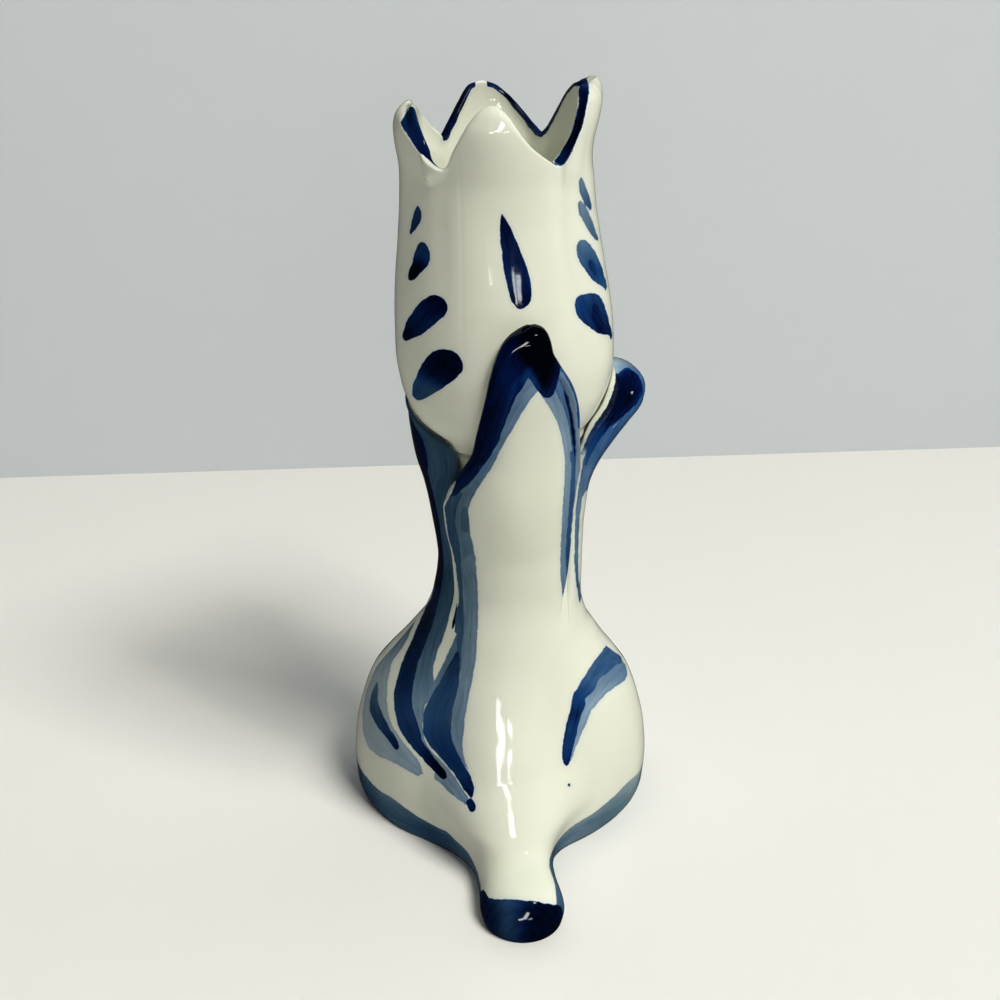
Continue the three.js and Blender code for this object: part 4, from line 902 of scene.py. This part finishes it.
# Changes a layer's load softly inside an outline: pooled pigment, and a painted highlight on the front leaf's rolled
# edge
def pool_or_gleam(P, layer, poly, amount, soft):
    q = P.px
    poly = spline(poly)
    idx = np.nonzero(((q > poly.min(0) - 12) & (q < poly.max(0) + 12)).all(-1))[0]
    if len(idx):
        sd = poly_sd(q[idx], poly) / 4.85
        P.load[layer][idx] += amount * ease(-soft, soft, sd)


def paint_back_of_leaf(P, shape, n_out, dl, dr, skin, reach):
    """Behind a margin the paint only wraps round the edge."""
    rows, cols = shape
    side = np.where(dl < dr, 0, n_out - 1)[:, n_out:]
    dist = -skin[:, n_out:]
    r = np.arange(rows)[:, None]
    for k in range(3):
        sd = P.sd[k].reshape(rows, cols)
        ld = P.load[k].reshape(rows, cols)
        sd[:, n_out:] = np.clip(np.minimum(sd[r, side], reach - dist), P.FAR, 9)
        ld[:, n_out:] = ld[r, side]


def leaf_piece(name):
    P3, S, B = leaf_mesh_rings(name)
    dl, dr, skin_l, skin_r = leaf_fields(name, P3, S, B)
    n_out = int(B[0].sum())
    rows, cols = S.shape
    P = Paint(P3.reshape(-1, 3))
    face = (B.reshape(-1) > 0.5)
    az, z, px = P.az, P.z, P.px
    dl1, dr1 = dl.reshape(-1), dr.reshape(-1)
    front = face & (np.abs(az) < 100)
    top = LEAVES[name]["top"]
    if name == "front_leaf":
        for layer, poly, load, line in FRONT_LEAF_STROKES:
            P.add(layer, poly, load, line, where=face)
        for layer, poly, load, line in BODY_STROKES[4:6]:
            P.add(layer, poly, load, line, where=face)
        # pooled pigment, and a painted highlight on the rolled left edge
        for args in FRONT_LEAF_POOLS_AND_GLEAM:
            pool_or_gleam(P, *args)
        # painted highlight: from the bend down the left margin is left bare in a thin line along its outline seen from
        # the front, for the edge catching the light where the glaze is also thin
        thin = (px[:, 1] > 468)
        u = px[:, 0].reshape(rows, cols)
        seen = (u - np.where(face.reshape(rows, cols), u, 1e6).min(1, keepdims=True)).reshape(-1) / 4.85
        thin_glaze_and_gleam = seen - interp([470, 484, 500, 560, 602, 616], [-0.6, 0.1, 0.34, 0.34, 0.30, -0.6], px[:, 1])
        thin_glaze_and_gleam = np.minimum(thin_glaze_and_gleam, skin_l.reshape(-1) - lerp(-0.6, 1.45, ease(515, 560, px[:, 1]) * (1 - ease(572, 600, px[:, 1]))))
        # painted highlight: paint taken off in that thin line along the outline
        for k in range(3):
            P.sd[k] = np.where(thin & face & (az < 0), np.minimum(P.sd[k], thin_glaze_and_gleam), P.sd[k])
    elif name == "right_leaf":
        for layer, poly, load, line in RIGHT_LEAF_STROKES:
            P.add(layer, poly, load, line, where=face & (np.abs(az) < interp([95, 101, 106.6], [100, 106, 124], z)))
        # round the back: the same band along the other margin, dark at the tip
        w = interp([48, 62, 74, 86, 96, 103, 106.6], [1.2, 3.4, 5.6, 7.0, 7.4, 7.0, 6.0], z)
        low = (z - interp([90, 120, 150, 166], [90, 84, 62, 57], az)) * 0.6
        low = np.minimum(low, (az - interp([98, 102, 106.6], [99, 105, 124], z)) * D * 26 + np.where(z < 98, 9.0, 0.0))
        band = np.minimum(w - dr1 + 0.5 * np.sin(z * 0.13), low)
        set_layer(P, WASH, np.where(face & (az > 88), band, P.FAR), 0.56 + 0.1 * ease(80, 100, z), dr1, z)
        band = np.minimum(np.minimum(w * 0.66 - dr1 + 0.4 * np.sin(z * 0.17 + 1), (z - 70) * 0.5), np.where(z < 98, 9.0, low))
        set_layer(P, BLUE, np.where(face & (az > 88), band, P.FAR), 0.82 + 0.1 * ease(80, 100, z), dr1, z)
        tip = (z - interp([60, 76, 92, 105, 120, 140, 160], [97, 95.5, 95.0, 96.0, 91.5, 87, 83.5], az)) * 0.8
        tip = np.minimum(tip, (az - interp([98, 102, 106.6], [99, 105, 124], z)) * D * 26)
        set_layer(P, DARK, np.where(face & (az > 70), tip, P.FAR), 1.04, az * D * 26, z)
    else:
        # seen half: slate all over, streaks along it, navy on the outer side
        start = interp([44, 50, 54, 58, 66, 74, 84, 92, 98, 104, 108], [8.0, 9.5, 11.5, 13.5, 16.0, 17.5, 19.0, 19.5, 17.0, 12.0, 9.0], z)
        band = np.minimum(start - dr1, (z - 54.5 - 1.2 * np.sin(az * D * 14)) * 0.7)
        set_layer(P, BLUE, np.where(face, band, P.FAR), 0.69 + 0.02 * np.sin(dr1 * 1.1 + z * 0.05) + 0.015 * np.sin(dr1 * 3.1 + 1), dr1, z)
        d2 = interp([48, 60, 74, 86, 96, 108], [2.2, 2.8, 3.2, 3.9, 4.0, 2.5], z) - np.abs(dr1 - interp([48, 60, 74, 82, 88, 96, 101, 108], [6.5, 7.4, 7.6, 9.6, 12.6, 12.9, 9.5, 4.0], z))
        set_layer(P, DARK, np.where(face, np.minimum(d2, (z - 57) * 0.5), P.FAR), 1.04, dr1, z)
        # other margin, round the back
        w = interp([48, 62, 74, 86, 96, 104, 108], [1.4, 3.6, 6.0, 7.2, 7.6, 7.0, 6.0], z)
        set_layer(P, WASH, np.where(face & (az < -100), np.minimum(w - dl1 + 0.5 * np.sin(z * 0.15), (z - 57) * 0.6), P.FAR), 0.58 + 0.1 * ease(80, 100, z), dl1, z)
        set_layer(P, BLUE, np.where(face & (az < -100), np.minimum(w * 0.64 - dl1 + 0.4 * np.sin(z * 0.19), (z - 68) * 0.5), P.FAR), 0.84 + 0.1 * ease(80, 100, z), dl1, z)
        tip = (z - interp([-175, -165, -150, -135, -122, -114, -108, -104, -98], [88, 91, 95.5, 97.0, 96.6, 97.4, 99.5, 103, 108], az)) * 0.8
        tip = np.minimum(tip, (-103 - az) * D * 22)
        set_layer(P, DARK, np.where(face, tip, P.FAR), 1.05, az * D * 24, z)
        for layer, poly, load, line in BODY_STROKES[:4]:
            P.add(layer, poly, load, line, where=front)
    if name != "front_leaf":
        for layer, poly, load, line, c, r in BACK_STROKES:
            P.add(layer, poly, load, line, space="az", ref=(c, 17.0), where=face & (np.abs(az) > 92))
    if name == "front_leaf":
        left = 1 - ease(488, 540, px[:, 0])
        P.slate = np.where(az < 8, lerp(0.12 + 0.25 * ease(380, 440, px[:, 1]), 0.80, ease(470, 500, px[:, 1])) * lerp(0.6, 1.0, left), 0.22 + 0.2 * ease(420, 560, px[:, 1]))
        P.slate = np.where(px[:, 1] > 600, np.where(az < 8, 0.72, P.slate), P.slate)
    elif name == "right_leaf":
        P.slate = np.where(front, 0.05 + 0.5 * ease(455, 530, px[:, 1]), 0.35)
    else:
        P.slate = np.where(az > -110, np.where(P.sd[2] > -0.1, 0.35, 0.9), 0.4)
    paint_back_of_leaf(P, (rows, cols), n_out, dl, dr, np.where(dl < dr, skin_l, skin_r), 0.25 if name == "left_leaf" else 0.9)
    ob, _ = build(name + "_glazed", P3, caps=(P3[0].mean(0), P3[-1].mean(0)), attrs=P.attrs())
    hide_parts(name)
    return ob


# ------------------------------------------------------------------ materials
def srgb(r, g, b):
    f = lambda v: (v / 255.0) / 12.92 if v <= 10.3 else (((v / 255.0) + 0.055) / 1.055) ** 2.4
    return (f(r), f(g), f(b), 1.0)


class Nodes:
    """Short names for building a material's node tree."""

    def __init__(self, name):
        self.mat = bpy.data.materials.new(name)
        self.mat.use_nodes = True
        self.t = self.mat.node_tree
        self.t.nodes.clear()
        self.link = self.t.links.new

    def node(self, kind, **props):
        n = self.t.nodes.new(kind)
        for k, v in props.items():
            setattr(n, k, v)
        return n

    def put(self, socket, value):
        if isinstance(value, bpy.types.NodeSocket):
            self.link(value, socket)
        elif value is not None:
            socket.default_value = value

    def m(self, op, a, b=None, c=None, clamp=False):
        n = self.node("ShaderNodeMath", operation=op, use_clamp=clamp)
        for s, v in zip(n.inputs, (a, b, c)):
            self.put(s, v)
        return n.outputs[0]

    def attr(self, name):
        return self.node("ShaderNodeAttribute", attribute_name=name, attribute_type="GEOMETRY").outputs["Fac"]

    def combine(self, x, y, z=0.0):
        n = self.node("ShaderNodeCombineXYZ")
        for s, v in zip(n.inputs, (x, y, z)):
            self.put(s, v)
        return n.outputs[0]

    def noise(self, vec, scale, detail=2.0, rough=0.5, dist=0.0):
        n = self.node("ShaderNodeTexNoise")
        self.put(n.inputs["Vector"], vec)
        n.inputs["Scale"].default_value = scale
        n.inputs["Detail"].default_value = detail
        n.inputs["Roughness"].default_value = rough
        n.inputs["Distortion"].default_value = dist
        return n.outputs["Fac"]

    def step(self, value, lo, hi, out_lo=0.0, out_hi=1.0, smooth=True):
        n = self.node("ShaderNodeMapRange", interpolation_type="SMOOTHSTEP" if smooth else "LINEAR", clamp=True)
        self.put(n.inputs["Value"], value)
        self.put(n.inputs["From Min"], lo)
        self.put(n.inputs["From Max"], hi)
        self.put(n.inputs["To Min"], out_lo)
        self.put(n.inputs["To Max"], out_hi)
        return n.outputs["Result"]

    def ramp(self, fac, stops):
        n = self.node("ShaderNodeValToRGB")
        e = n.color_ramp.elements
        while len(e) > 1:
            e.remove(e[-1])
        e[0].position, e[0].color = stops[0]
        for p, c in stops[1:]:
            x = e.new(p)
            x.color = c
        self.put(n.inputs["Fac"], fac)
        return n.outputs["Color"]

    def mix(self, fac, a, b, blend="MIX"):
        n = self.node("ShaderNodeMix", data_type="RGBA", blend_type=blend)
        n.clamp_factor = True
        self.put(n.inputs[0], fac)
        self.put(n.inputs[6], a)
        self.put(n.inputs[7], b)
        return n.outputs[2]

    def mixf(self, fac, a, b):
        n = self.node("ShaderNodeMix", data_type="FLOAT")
        n.clamp_factor = True
        self.put(n.inputs[0], fac)
        self.put(n.inputs[2], a)
        self.put(n.inputs[3], b)
        return n.outputs[0]

    def mm(self):
        """Position on the piece, in mm."""
        t = self.node("ShaderNodeTexCoord").outputs["Object"]
        n = self.node("ShaderNodeVectorMath", operation="SCALE")
        self.link(t, n.inputs[0])
        n.inputs["Scale"].default_value = 1000.0
        return n.outputs[0]


PORCELAIN = (0.785, 0.800, 0.700)
PIGMENT = [  # load of pigment, and the colour it fires to on the white body
    (0.00, (226, 228, 214)), (0.05, (214, 219, 212)), (0.15, (184, 197, 202)), (0.25, (154, 173, 189)), (0.35, (122, 146, 172)), (0.45, (92, 118, 152)),
    (0.55, (64, 95, 138)), (0.65, (40, 76, 126)), (0.75, (20, 60, 114)), (0.85, (8, 45, 102)), (0.95, (3, 26, 78)), (1.05, (2, 11, 50)), (1.15, (1, 5, 24)), (1.30, (1, 2, 8))]

SLATE = [    # the same where the cobalt went on thin and greyish
    (0.00, (226, 228, 214)), (0.05, (214, 218, 209)), (0.15, (188, 196, 195)), (0.25, (162, 174, 178)), (0.35, (136, 152, 160)), (0.45, (110, 130, 142)),
    (0.55, (86, 109, 125)), (0.65, (66, 90, 109)), (0.75, (50, 75, 96)), (0.85, (36, 59, 82)), (0.95, (20, 40, 64)), (1.05, (6, 17, 38)), (1.15, (2, 6, 19)), (1.30, (1, 2, 7))]


def glaze(name):
    """Clear glossy glaze over white porcelain, with brushed cobalt under it."""
    N = Nodes(name)
    p = N.mm()
    half = lambda f, k: N.m("MULTIPLY", N.m("SUBTRACT", f, 0.5), k)
    wob = N.m("ADD", half(N.noise(p, 0.55, 3, 0.55), 0.55), half(N.noise(p, 3.2, 2, 0.5), 0.16))
    across, along_ = N.attr("across"), N.attr("along")
    brush = N.noise(N.combine(N.m("MULTIPLY", across, 1.9), N.m("MULTIPLY", along_, 0.16), 0.3), 1.0, 4, 0.6)
    hairs = N.noise(N.combine(N.m("MULTIPLY", across, 6.5), N.m("MULTIPLY", along_, 0.32), 4.1), 1.0, 2, 0.5)
    cloud = N.noise(p, 0.22, 4, 0.6)
    grain = N.noise(p, 5.0, 3, 0.7)
    L = None
    for k, (soft, pale) in zip("abc", ((0.13, 1.0), (0.12, 0.8), (0.10, 0.45))):
        sd = N.m("ADD", N.attr("sd_" + k), wob)
        m = N.step(sd, -soft, soft)
        ld = N.attr("load_" + k)
        var = N.m("ADD", half(brush, 0.62 * pale), N.m("ADD", half(hairs, 0.11 * pale), N.m("ADD", half(cloud, 0.34 * pale), half(grain, 0.08))))
        # pigment gathers in a thin line inside a stroke's edge
        rim = N.m("MULTIPLY", N.step(sd, 0.75, 0.12), 0.035 * pale)
        core = N.m("MULTIPLY", N.step(sd, 0.1, 1.6), 0.04)
        lay = N.m("ADD", N.m("MULTIPLY", ld, N.m("ADD", var, 1.0)), N.m("ADD", rim, core))
        if L is None:
            halo = N.m("MULTIPLY", N.step(sd, -1.3, 0.0), 0.028)
            L = N.mixf(m, halo, lay)
        else:
            halo = N.m("MAXIMUM", L, N.m("MULTIPLY", N.step(sd, -1.1, 0.0), 0.035))
            L = N.mixf(m, halo, N.m("MAXIMUM", lay, L))
    top = 1.4
    white = srgb(*PIGMENT[0][1])
    stops = []
    for load, c in PIGMENT:
        s = srgb(*c)
        stops.append((load / top, tuple(min(s[i] / white[i], 1.0) for i in range(3)) + (1.0,)))
    tint = N.ramp(N.m("DIVIDE", L, top, clamp=True), stops)
    grey = []
    for load, c in SLATE:
        s = srgb(*c)
        grey.append((load / top, tuple(min(s[i] / white[i], 1.0) for i in range(3)) + (1.0,)))
    thin = N.m("ADD", N.attr("slate"), N.m("ADD", half(cloud, 0.9), half(brush, 0.5)), clamp=True)
    tint = N.mix(thin, tint, N.ramp(N.m("DIVIDE", L, top, clamp=True), grey))
    # cobalt that fired a little greener or more violet from place to place
    tone = N.step(N.noise(p, 0.13, 2, 0.5), 0.35, 0.68)
    tint = N.mix(N.m("MULTIPLY", N.step(L, 0.15, 0.7), 0.5), tint, N.mix(tone, (0.78, 1.0, 0.96, 1), (1.0, 0.97, 1.0, 1)), "MULTIPLY")
    # the white body: faint clouds, a trace of blue-grey where the glaze lies thick
    mott = N.step(N.noise(p, 0.09, 3, 0.55), 0.3, 0.72)
    body = N.mix(mott, (*PORCELAIN, 1), (PORCELAIN[0] * 0.965, PORCELAIN[1] * 0.975, PORCELAIN[2] * 0.955, 1))
    spots = N.step(N.noise(p, 1.15, 1, 0.4), 0.80, 0.84)
    body = N.mix(N.m("MULTIPLY", spots, 0.10), body, (0.52, 0.50, 0.40, 1))
    color = N.mix(1.0, body, tint, "MULTIPLY")
    bs = N.node("ShaderNodeBsdfPrincipled")
    N.link(color, bs.inputs["Base Color"])
    bs.inputs["Specular IOR Level"].default_value = 0.2
    bs.inputs["IOR"].default_value = 1.5
    rough = N.m("ADD", half(N.noise(p, 0.4, 3, 0.6), 0.05), N.m("ADD", 0.065, half(grain, 0.02)))
    N.link(rough, bs.inputs["Roughness"])
    bump = N.node("ShaderNodeBump")
    bump.inputs["Strength"].default_value = 1.0
    bump.inputs["Distance"].default_value = 0.001
    h = N.m("ADD", half(N.noise(p, 0.11, 2, 0.45), 0.055), N.m("ADD", half(N.noise(p, 0.45, 2, 0.5), 0.010), half(N.noise(p, 2.2, 2, 0.5), 0.0012)))
    N.link(h, bump.inputs["Height"])
    N.link(bump.outputs[0], bs.inputs["Normal"])
    out = N.node("ShaderNodeOutputMaterial")
    N.link(bs.outputs[0], out.inputs["Surface"])
    return N.mat


def biscuit():
    """The unglazed underside."""
    N = Nodes("biscuit_foot")
    p = N.mm()
    f = N.noise(p, 1.4, 5, 0.65)
    body = N.mix(N.step(f, 0.3, 0.75), (0.70, 0.66, 0.56, 1), (0.55, 0.51, 0.42, 1))
    pits = N.step(N.noise(p, 4.5, 2, 0.6), 0.66, 0.74)
    body = N.mix(N.m("MULTIPLY", pits, 0.5), body, (0.36, 0.33, 0.27, 1))
    bs = N.node("ShaderNodeBsdfPrincipled")
    N.link(body, bs.inputs["Base Color"])
    bs.inputs["Roughness"].default_value = 0.85
    bump = N.node("ShaderNodeBump")
    bump.inputs["Distance"].default_value = 0.001
    bump.inputs["Strength"].default_value = 0.7
    N.link(N.m("SUBTRACT", N.m("MULTIPLY", N.noise(p, 3.0, 4, 0.6), 0.12), N.m("MULTIPLY", pits, 0.08)), bump.inputs["Height"])
    N.link(bump.outputs[0], bs.inputs["Normal"])
    out = N.node("ShaderNodeOutputMaterial")
    N.link(bs.outputs[0], out.inputs["Surface"])
    return N.mat


# ------------------------------------------------------------------ the pieces
GLAZE = glaze("painted_glaze")

PIECES = {}
for leaf in ("front_leaf", "right_leaf", "left_leaf"):
    PIECES[leaf] = leaf_piece(leaf)
    PIECES[leaf].data.materials.append(GLAZE)

R, FLAGS, N_UNDER = body_piece()
P = Paint(R.reshape(-1, 3))
OUTER = FLAGS.reshape(-1) > 0.5
foot_band(P, OUTER)
SEEN = OUTER & (P.az > -100) & (P.az < 114)
for layer, poly, load, line in BODY_STROKES:
    P.add(layer, poly, load, line, where=SEEN & (P.z < 58))
END = (interp([10, 20, 25, 29, 33, 37, 42, 50], [84, 92, 101, 106, 105, 99, 92, 84], P.z) - P.az) * D * 30
for k in range(3):
    P.sd[k] = np.where(OUTER & (P.az > 70) & (P.z > 9.5) & (P.z < 50), np.minimum(P.sd[k], END), P.sd[k])
for layer, poly, load, line, c, r in BACK_STROKES:
    P.add(layer, poly, load, line, space="az", ref=(c, r), where=OUTER & (np.abs(P.az) > 92) & (P.z < 58))
BAND = (P.sd[1] > -0.3) & (P.z < 9.5)
LEFT = 0.90 - 0.62 * ease(600, 770, P.px[:, 1]) + 0.25 * ease(402, 372, P.px[:, 0])
P.slate = np.where(SEEN & (P.az < 0), np.clip(LEFT, 0, 1), 0.2)
P.slate = np.where(BAND, 0.72 + 0.23 * ease(16, 24, P.az) * (1 - ease(140, 180, P.az)), P.slate)
P.slate = np.where(P.sd[2] > -0.2, np.where(P.z < 12, 0.45 + 0.25 * bell(P.v[:, 0] - 1.0, 3.0), P.slate), P.slate)
body_ob, body_v = build("stem_and_foot", R, caps=(np.array([0, 0, 0.0]), np.array([0, 0, 3.6])), attrs=P.attrs())
body_ob.data.materials.append(GLAZE)
body_ob.data.materials.append(biscuit())
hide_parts("stem_base")
mi = np.zeros(len(body_ob.data.polygons), np.int32)
cz = np.zeros(len(mi) * 3, np.float32)
body_ob.data.polygons.foreach_get("center", cz)
mi[cz.reshape(-1, 3)[:, 2] < 1e-5] = 1
body_ob.data.polygons.foreach_set("material_index", mi)

R, BL_OUT, BL_LIP, BL_W = bloom_piece()
P = Paint(R.reshape(-1, 3))
OUTER = BL_OUT.reshape(-1) > 0.9
rim_paint(P, BL_LIP.reshape(-1), BL_W.reshape(-1), BL_LIP.reshape(-1) < 20)
SEEN = OUTER & (np.abs(P.az) < 90) & (P.px[:, 1] > 150)
for layer, poly, load, line in BLOOM_STROKES:
    P.add(layer, poly, load, line, where=SEEN)
for layer, poly, load, line, c, r in bloom_back_strokes():
    P.add(layer, poly, load, line, space="az", ref=(c, r), where=OUTER)
X, Y = P.px[:, 0], P.px[:, 1]
P.slate = np.where(SEEN, 0.18 + 0.45 * (1 - ease(225, 262, Y)) * np.maximum(ease(540, 570, X), 1 - ease(430, 450, X)) + 0.5 * bell(X - 428, 12) * ease(372, 392, Y), 0.25)
bloom_ob, bloom_v = build("tulip_bloom", R, attrs=P.attrs(), loop_rows=True)
bloom_ob.data.materials.append(GLAZE)
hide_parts("bloom")


# ------------------------------------------------------------------ table, backdrop, light
def plane(name, corners, mat):
    me = bpy.data.meshes.new(name)
    me.from_pydata(corners, [], [(0, 1, 2, 3)])
    me.materials.append(mat)
    ob = bpy.data.objects.new(name, me)
    bpy.context.scene.collection.objects.link(ob)
    return ob


def plain(name, color, rough, var=0.02):
    N = Nodes(name)
    p = N.mm()
    f = N.noise(p, 0.02, 3, 0.5)
    lo = tuple(c * (1 - var) for c in color) + (1,)
    bs = N.node("ShaderNodeBsdfPrincipled")
    N.link(N.mix(f, tuple(color) + (1,), lo), bs.inputs["Base Color"])
    bs.inputs["Roughness"].default_value = rough
    out = N.node("ShaderNodeOutputMaterial")
    N.link(bs.outputs[0], out.inputs["Surface"])
    return N.mat


table = plane("table_top", [(-2.5, -2.0, 0), (2.5, -2.0, 0), (2.5, 0.373, 0), (-2.5, 0.001, 0)], plain("table_white", (0.85, 0.845, 0.825), 0.25))
back = plane("backdrop", [(-2.5, 0.001, -0.02), (2.5, 0.373, -0.02), (2.5, 0.373, 2.0), (-2.5, 0.001, 2.0)], plain("backdrop_pale", (0.66, 0.70, 0.745), 0.6))


def area(name, loc, target, size, watts, color, lean=0.0):
    """A flat lamp at loc that faces target, its upper end leaning to the right of the picture."""
    d = bpy.data.lights.new(name, "AREA")
    d.shape = "RECTANGLE"
    d.size, d.size_y = size
    d.energy = watts
    d.color = color
    ob = bpy.data.objects.new(name, d)
    bpy.context.scene.collection.objects.link(ob)
    z = np.array(loc, float) - np.array(target, float)
    z /= np.linalg.norm(z)
    side = np.cross((0.0, 0.0, 1.0), z)
    side /= np.linalg.norm(side)
    up = math.cos(lean * D) * np.cross(z, side) + math.sin(lean * D) * side
    m = np.stack([np.cross(up, z), up, z], 1)
    ob.location = loc
    ob.rotation_euler = (math.atan2(m[2, 1], m[2, 2]), -math.asin(m[2, 0]), math.atan2(m[1, 0], m[0, 0]))
    return ob


def aim(az, el, dist):
    """A place seen from the vase in a direction: azimuth from the front towards the right, and elevation."""
    return (dist * math.sin(az * D) * math.cos(el * D), -dist * math.cos(az * D) * math.cos(el * D), 0.06 + dist * math.sin(el * D))


table.visible_glossy = back.visible_glossy = False       # the glaze mirrors only the lamps
for name, az, el in (("key_right", 57.0, 53.5), ("key_front", 38.5, 55.0)):
    key = area(name, aim(az, el, 3.0), (0, 0, 0.06), (0.68, 0.68), 45.5, (1.0, 0.985, 0.905))
    key.visible_glossy = False       # the gleams come from the narrow lamps below
gleams = [area("strip_low", (-0.02, -0.79, 0.181), (-0.02, 0, 0.181), (0.072, 0.25), 1.6, (1.0, 1.0, 1.0), 72),
          area("strip_high", (0.155, -0.79, 0.365), (0.155, 0, 0.365), (0.125, 0.38), 4.2, (1.0, 1.0, 1.0), 27),
          area("spark", aim(59.7, 56.0, 3.0), (0, 0, 0.06), (0.32, 0.32), 8.7, (1.0, 1.0, 1.0))]
for name, az, lo, hi, wide in (("pane_a", 16.4, 0.134, 0.178, 0.034), ("pane_b", 21.4, 0.146, 0.178, 0.080)):
    x, y, z = 0.003 + 0.8 * math.sin(az * D), -0.02 - 0.8 * math.cos(az * D), (lo + hi) / 2
    gleams.append(area(name, (x, y, z), (0.003, -0.02, z), (wide, hi - lo), 110.0 * wide * (hi - lo), (0.90, 0.96, 1.0)))
def kept_off(name, pieces):
    """A group of pieces that a narrow lamp doesn't reach."""
    group = bpy.data.collections.new(name)
    for k, ob in enumerate(pieces):
        group.objects.link(ob)
        group.collection_objects[k].light_linking.link_state = "EXCLUDE"
    return group


off_strips = kept_off("off_the_strips", [PIECES["right_leaf"]])
for lamp in gleams:
    lamp.visible_diffuse = False
    if lamp.name.startswith("strip"):
        lamp.light_linking.receiver_collection = off_strips

world = bpy.data.worlds.new("studio")
world.use_nodes = True
bg = world.node_tree.nodes["Background"]
bg.inputs["Color"].default_value = (1.0, 1.0, 1.0, 1)
bg.inputs["Strength"].default_value = 0.012
bpy.context.scene.world = world
bpy.context.scene.view_settings.view_transform = "Standard"
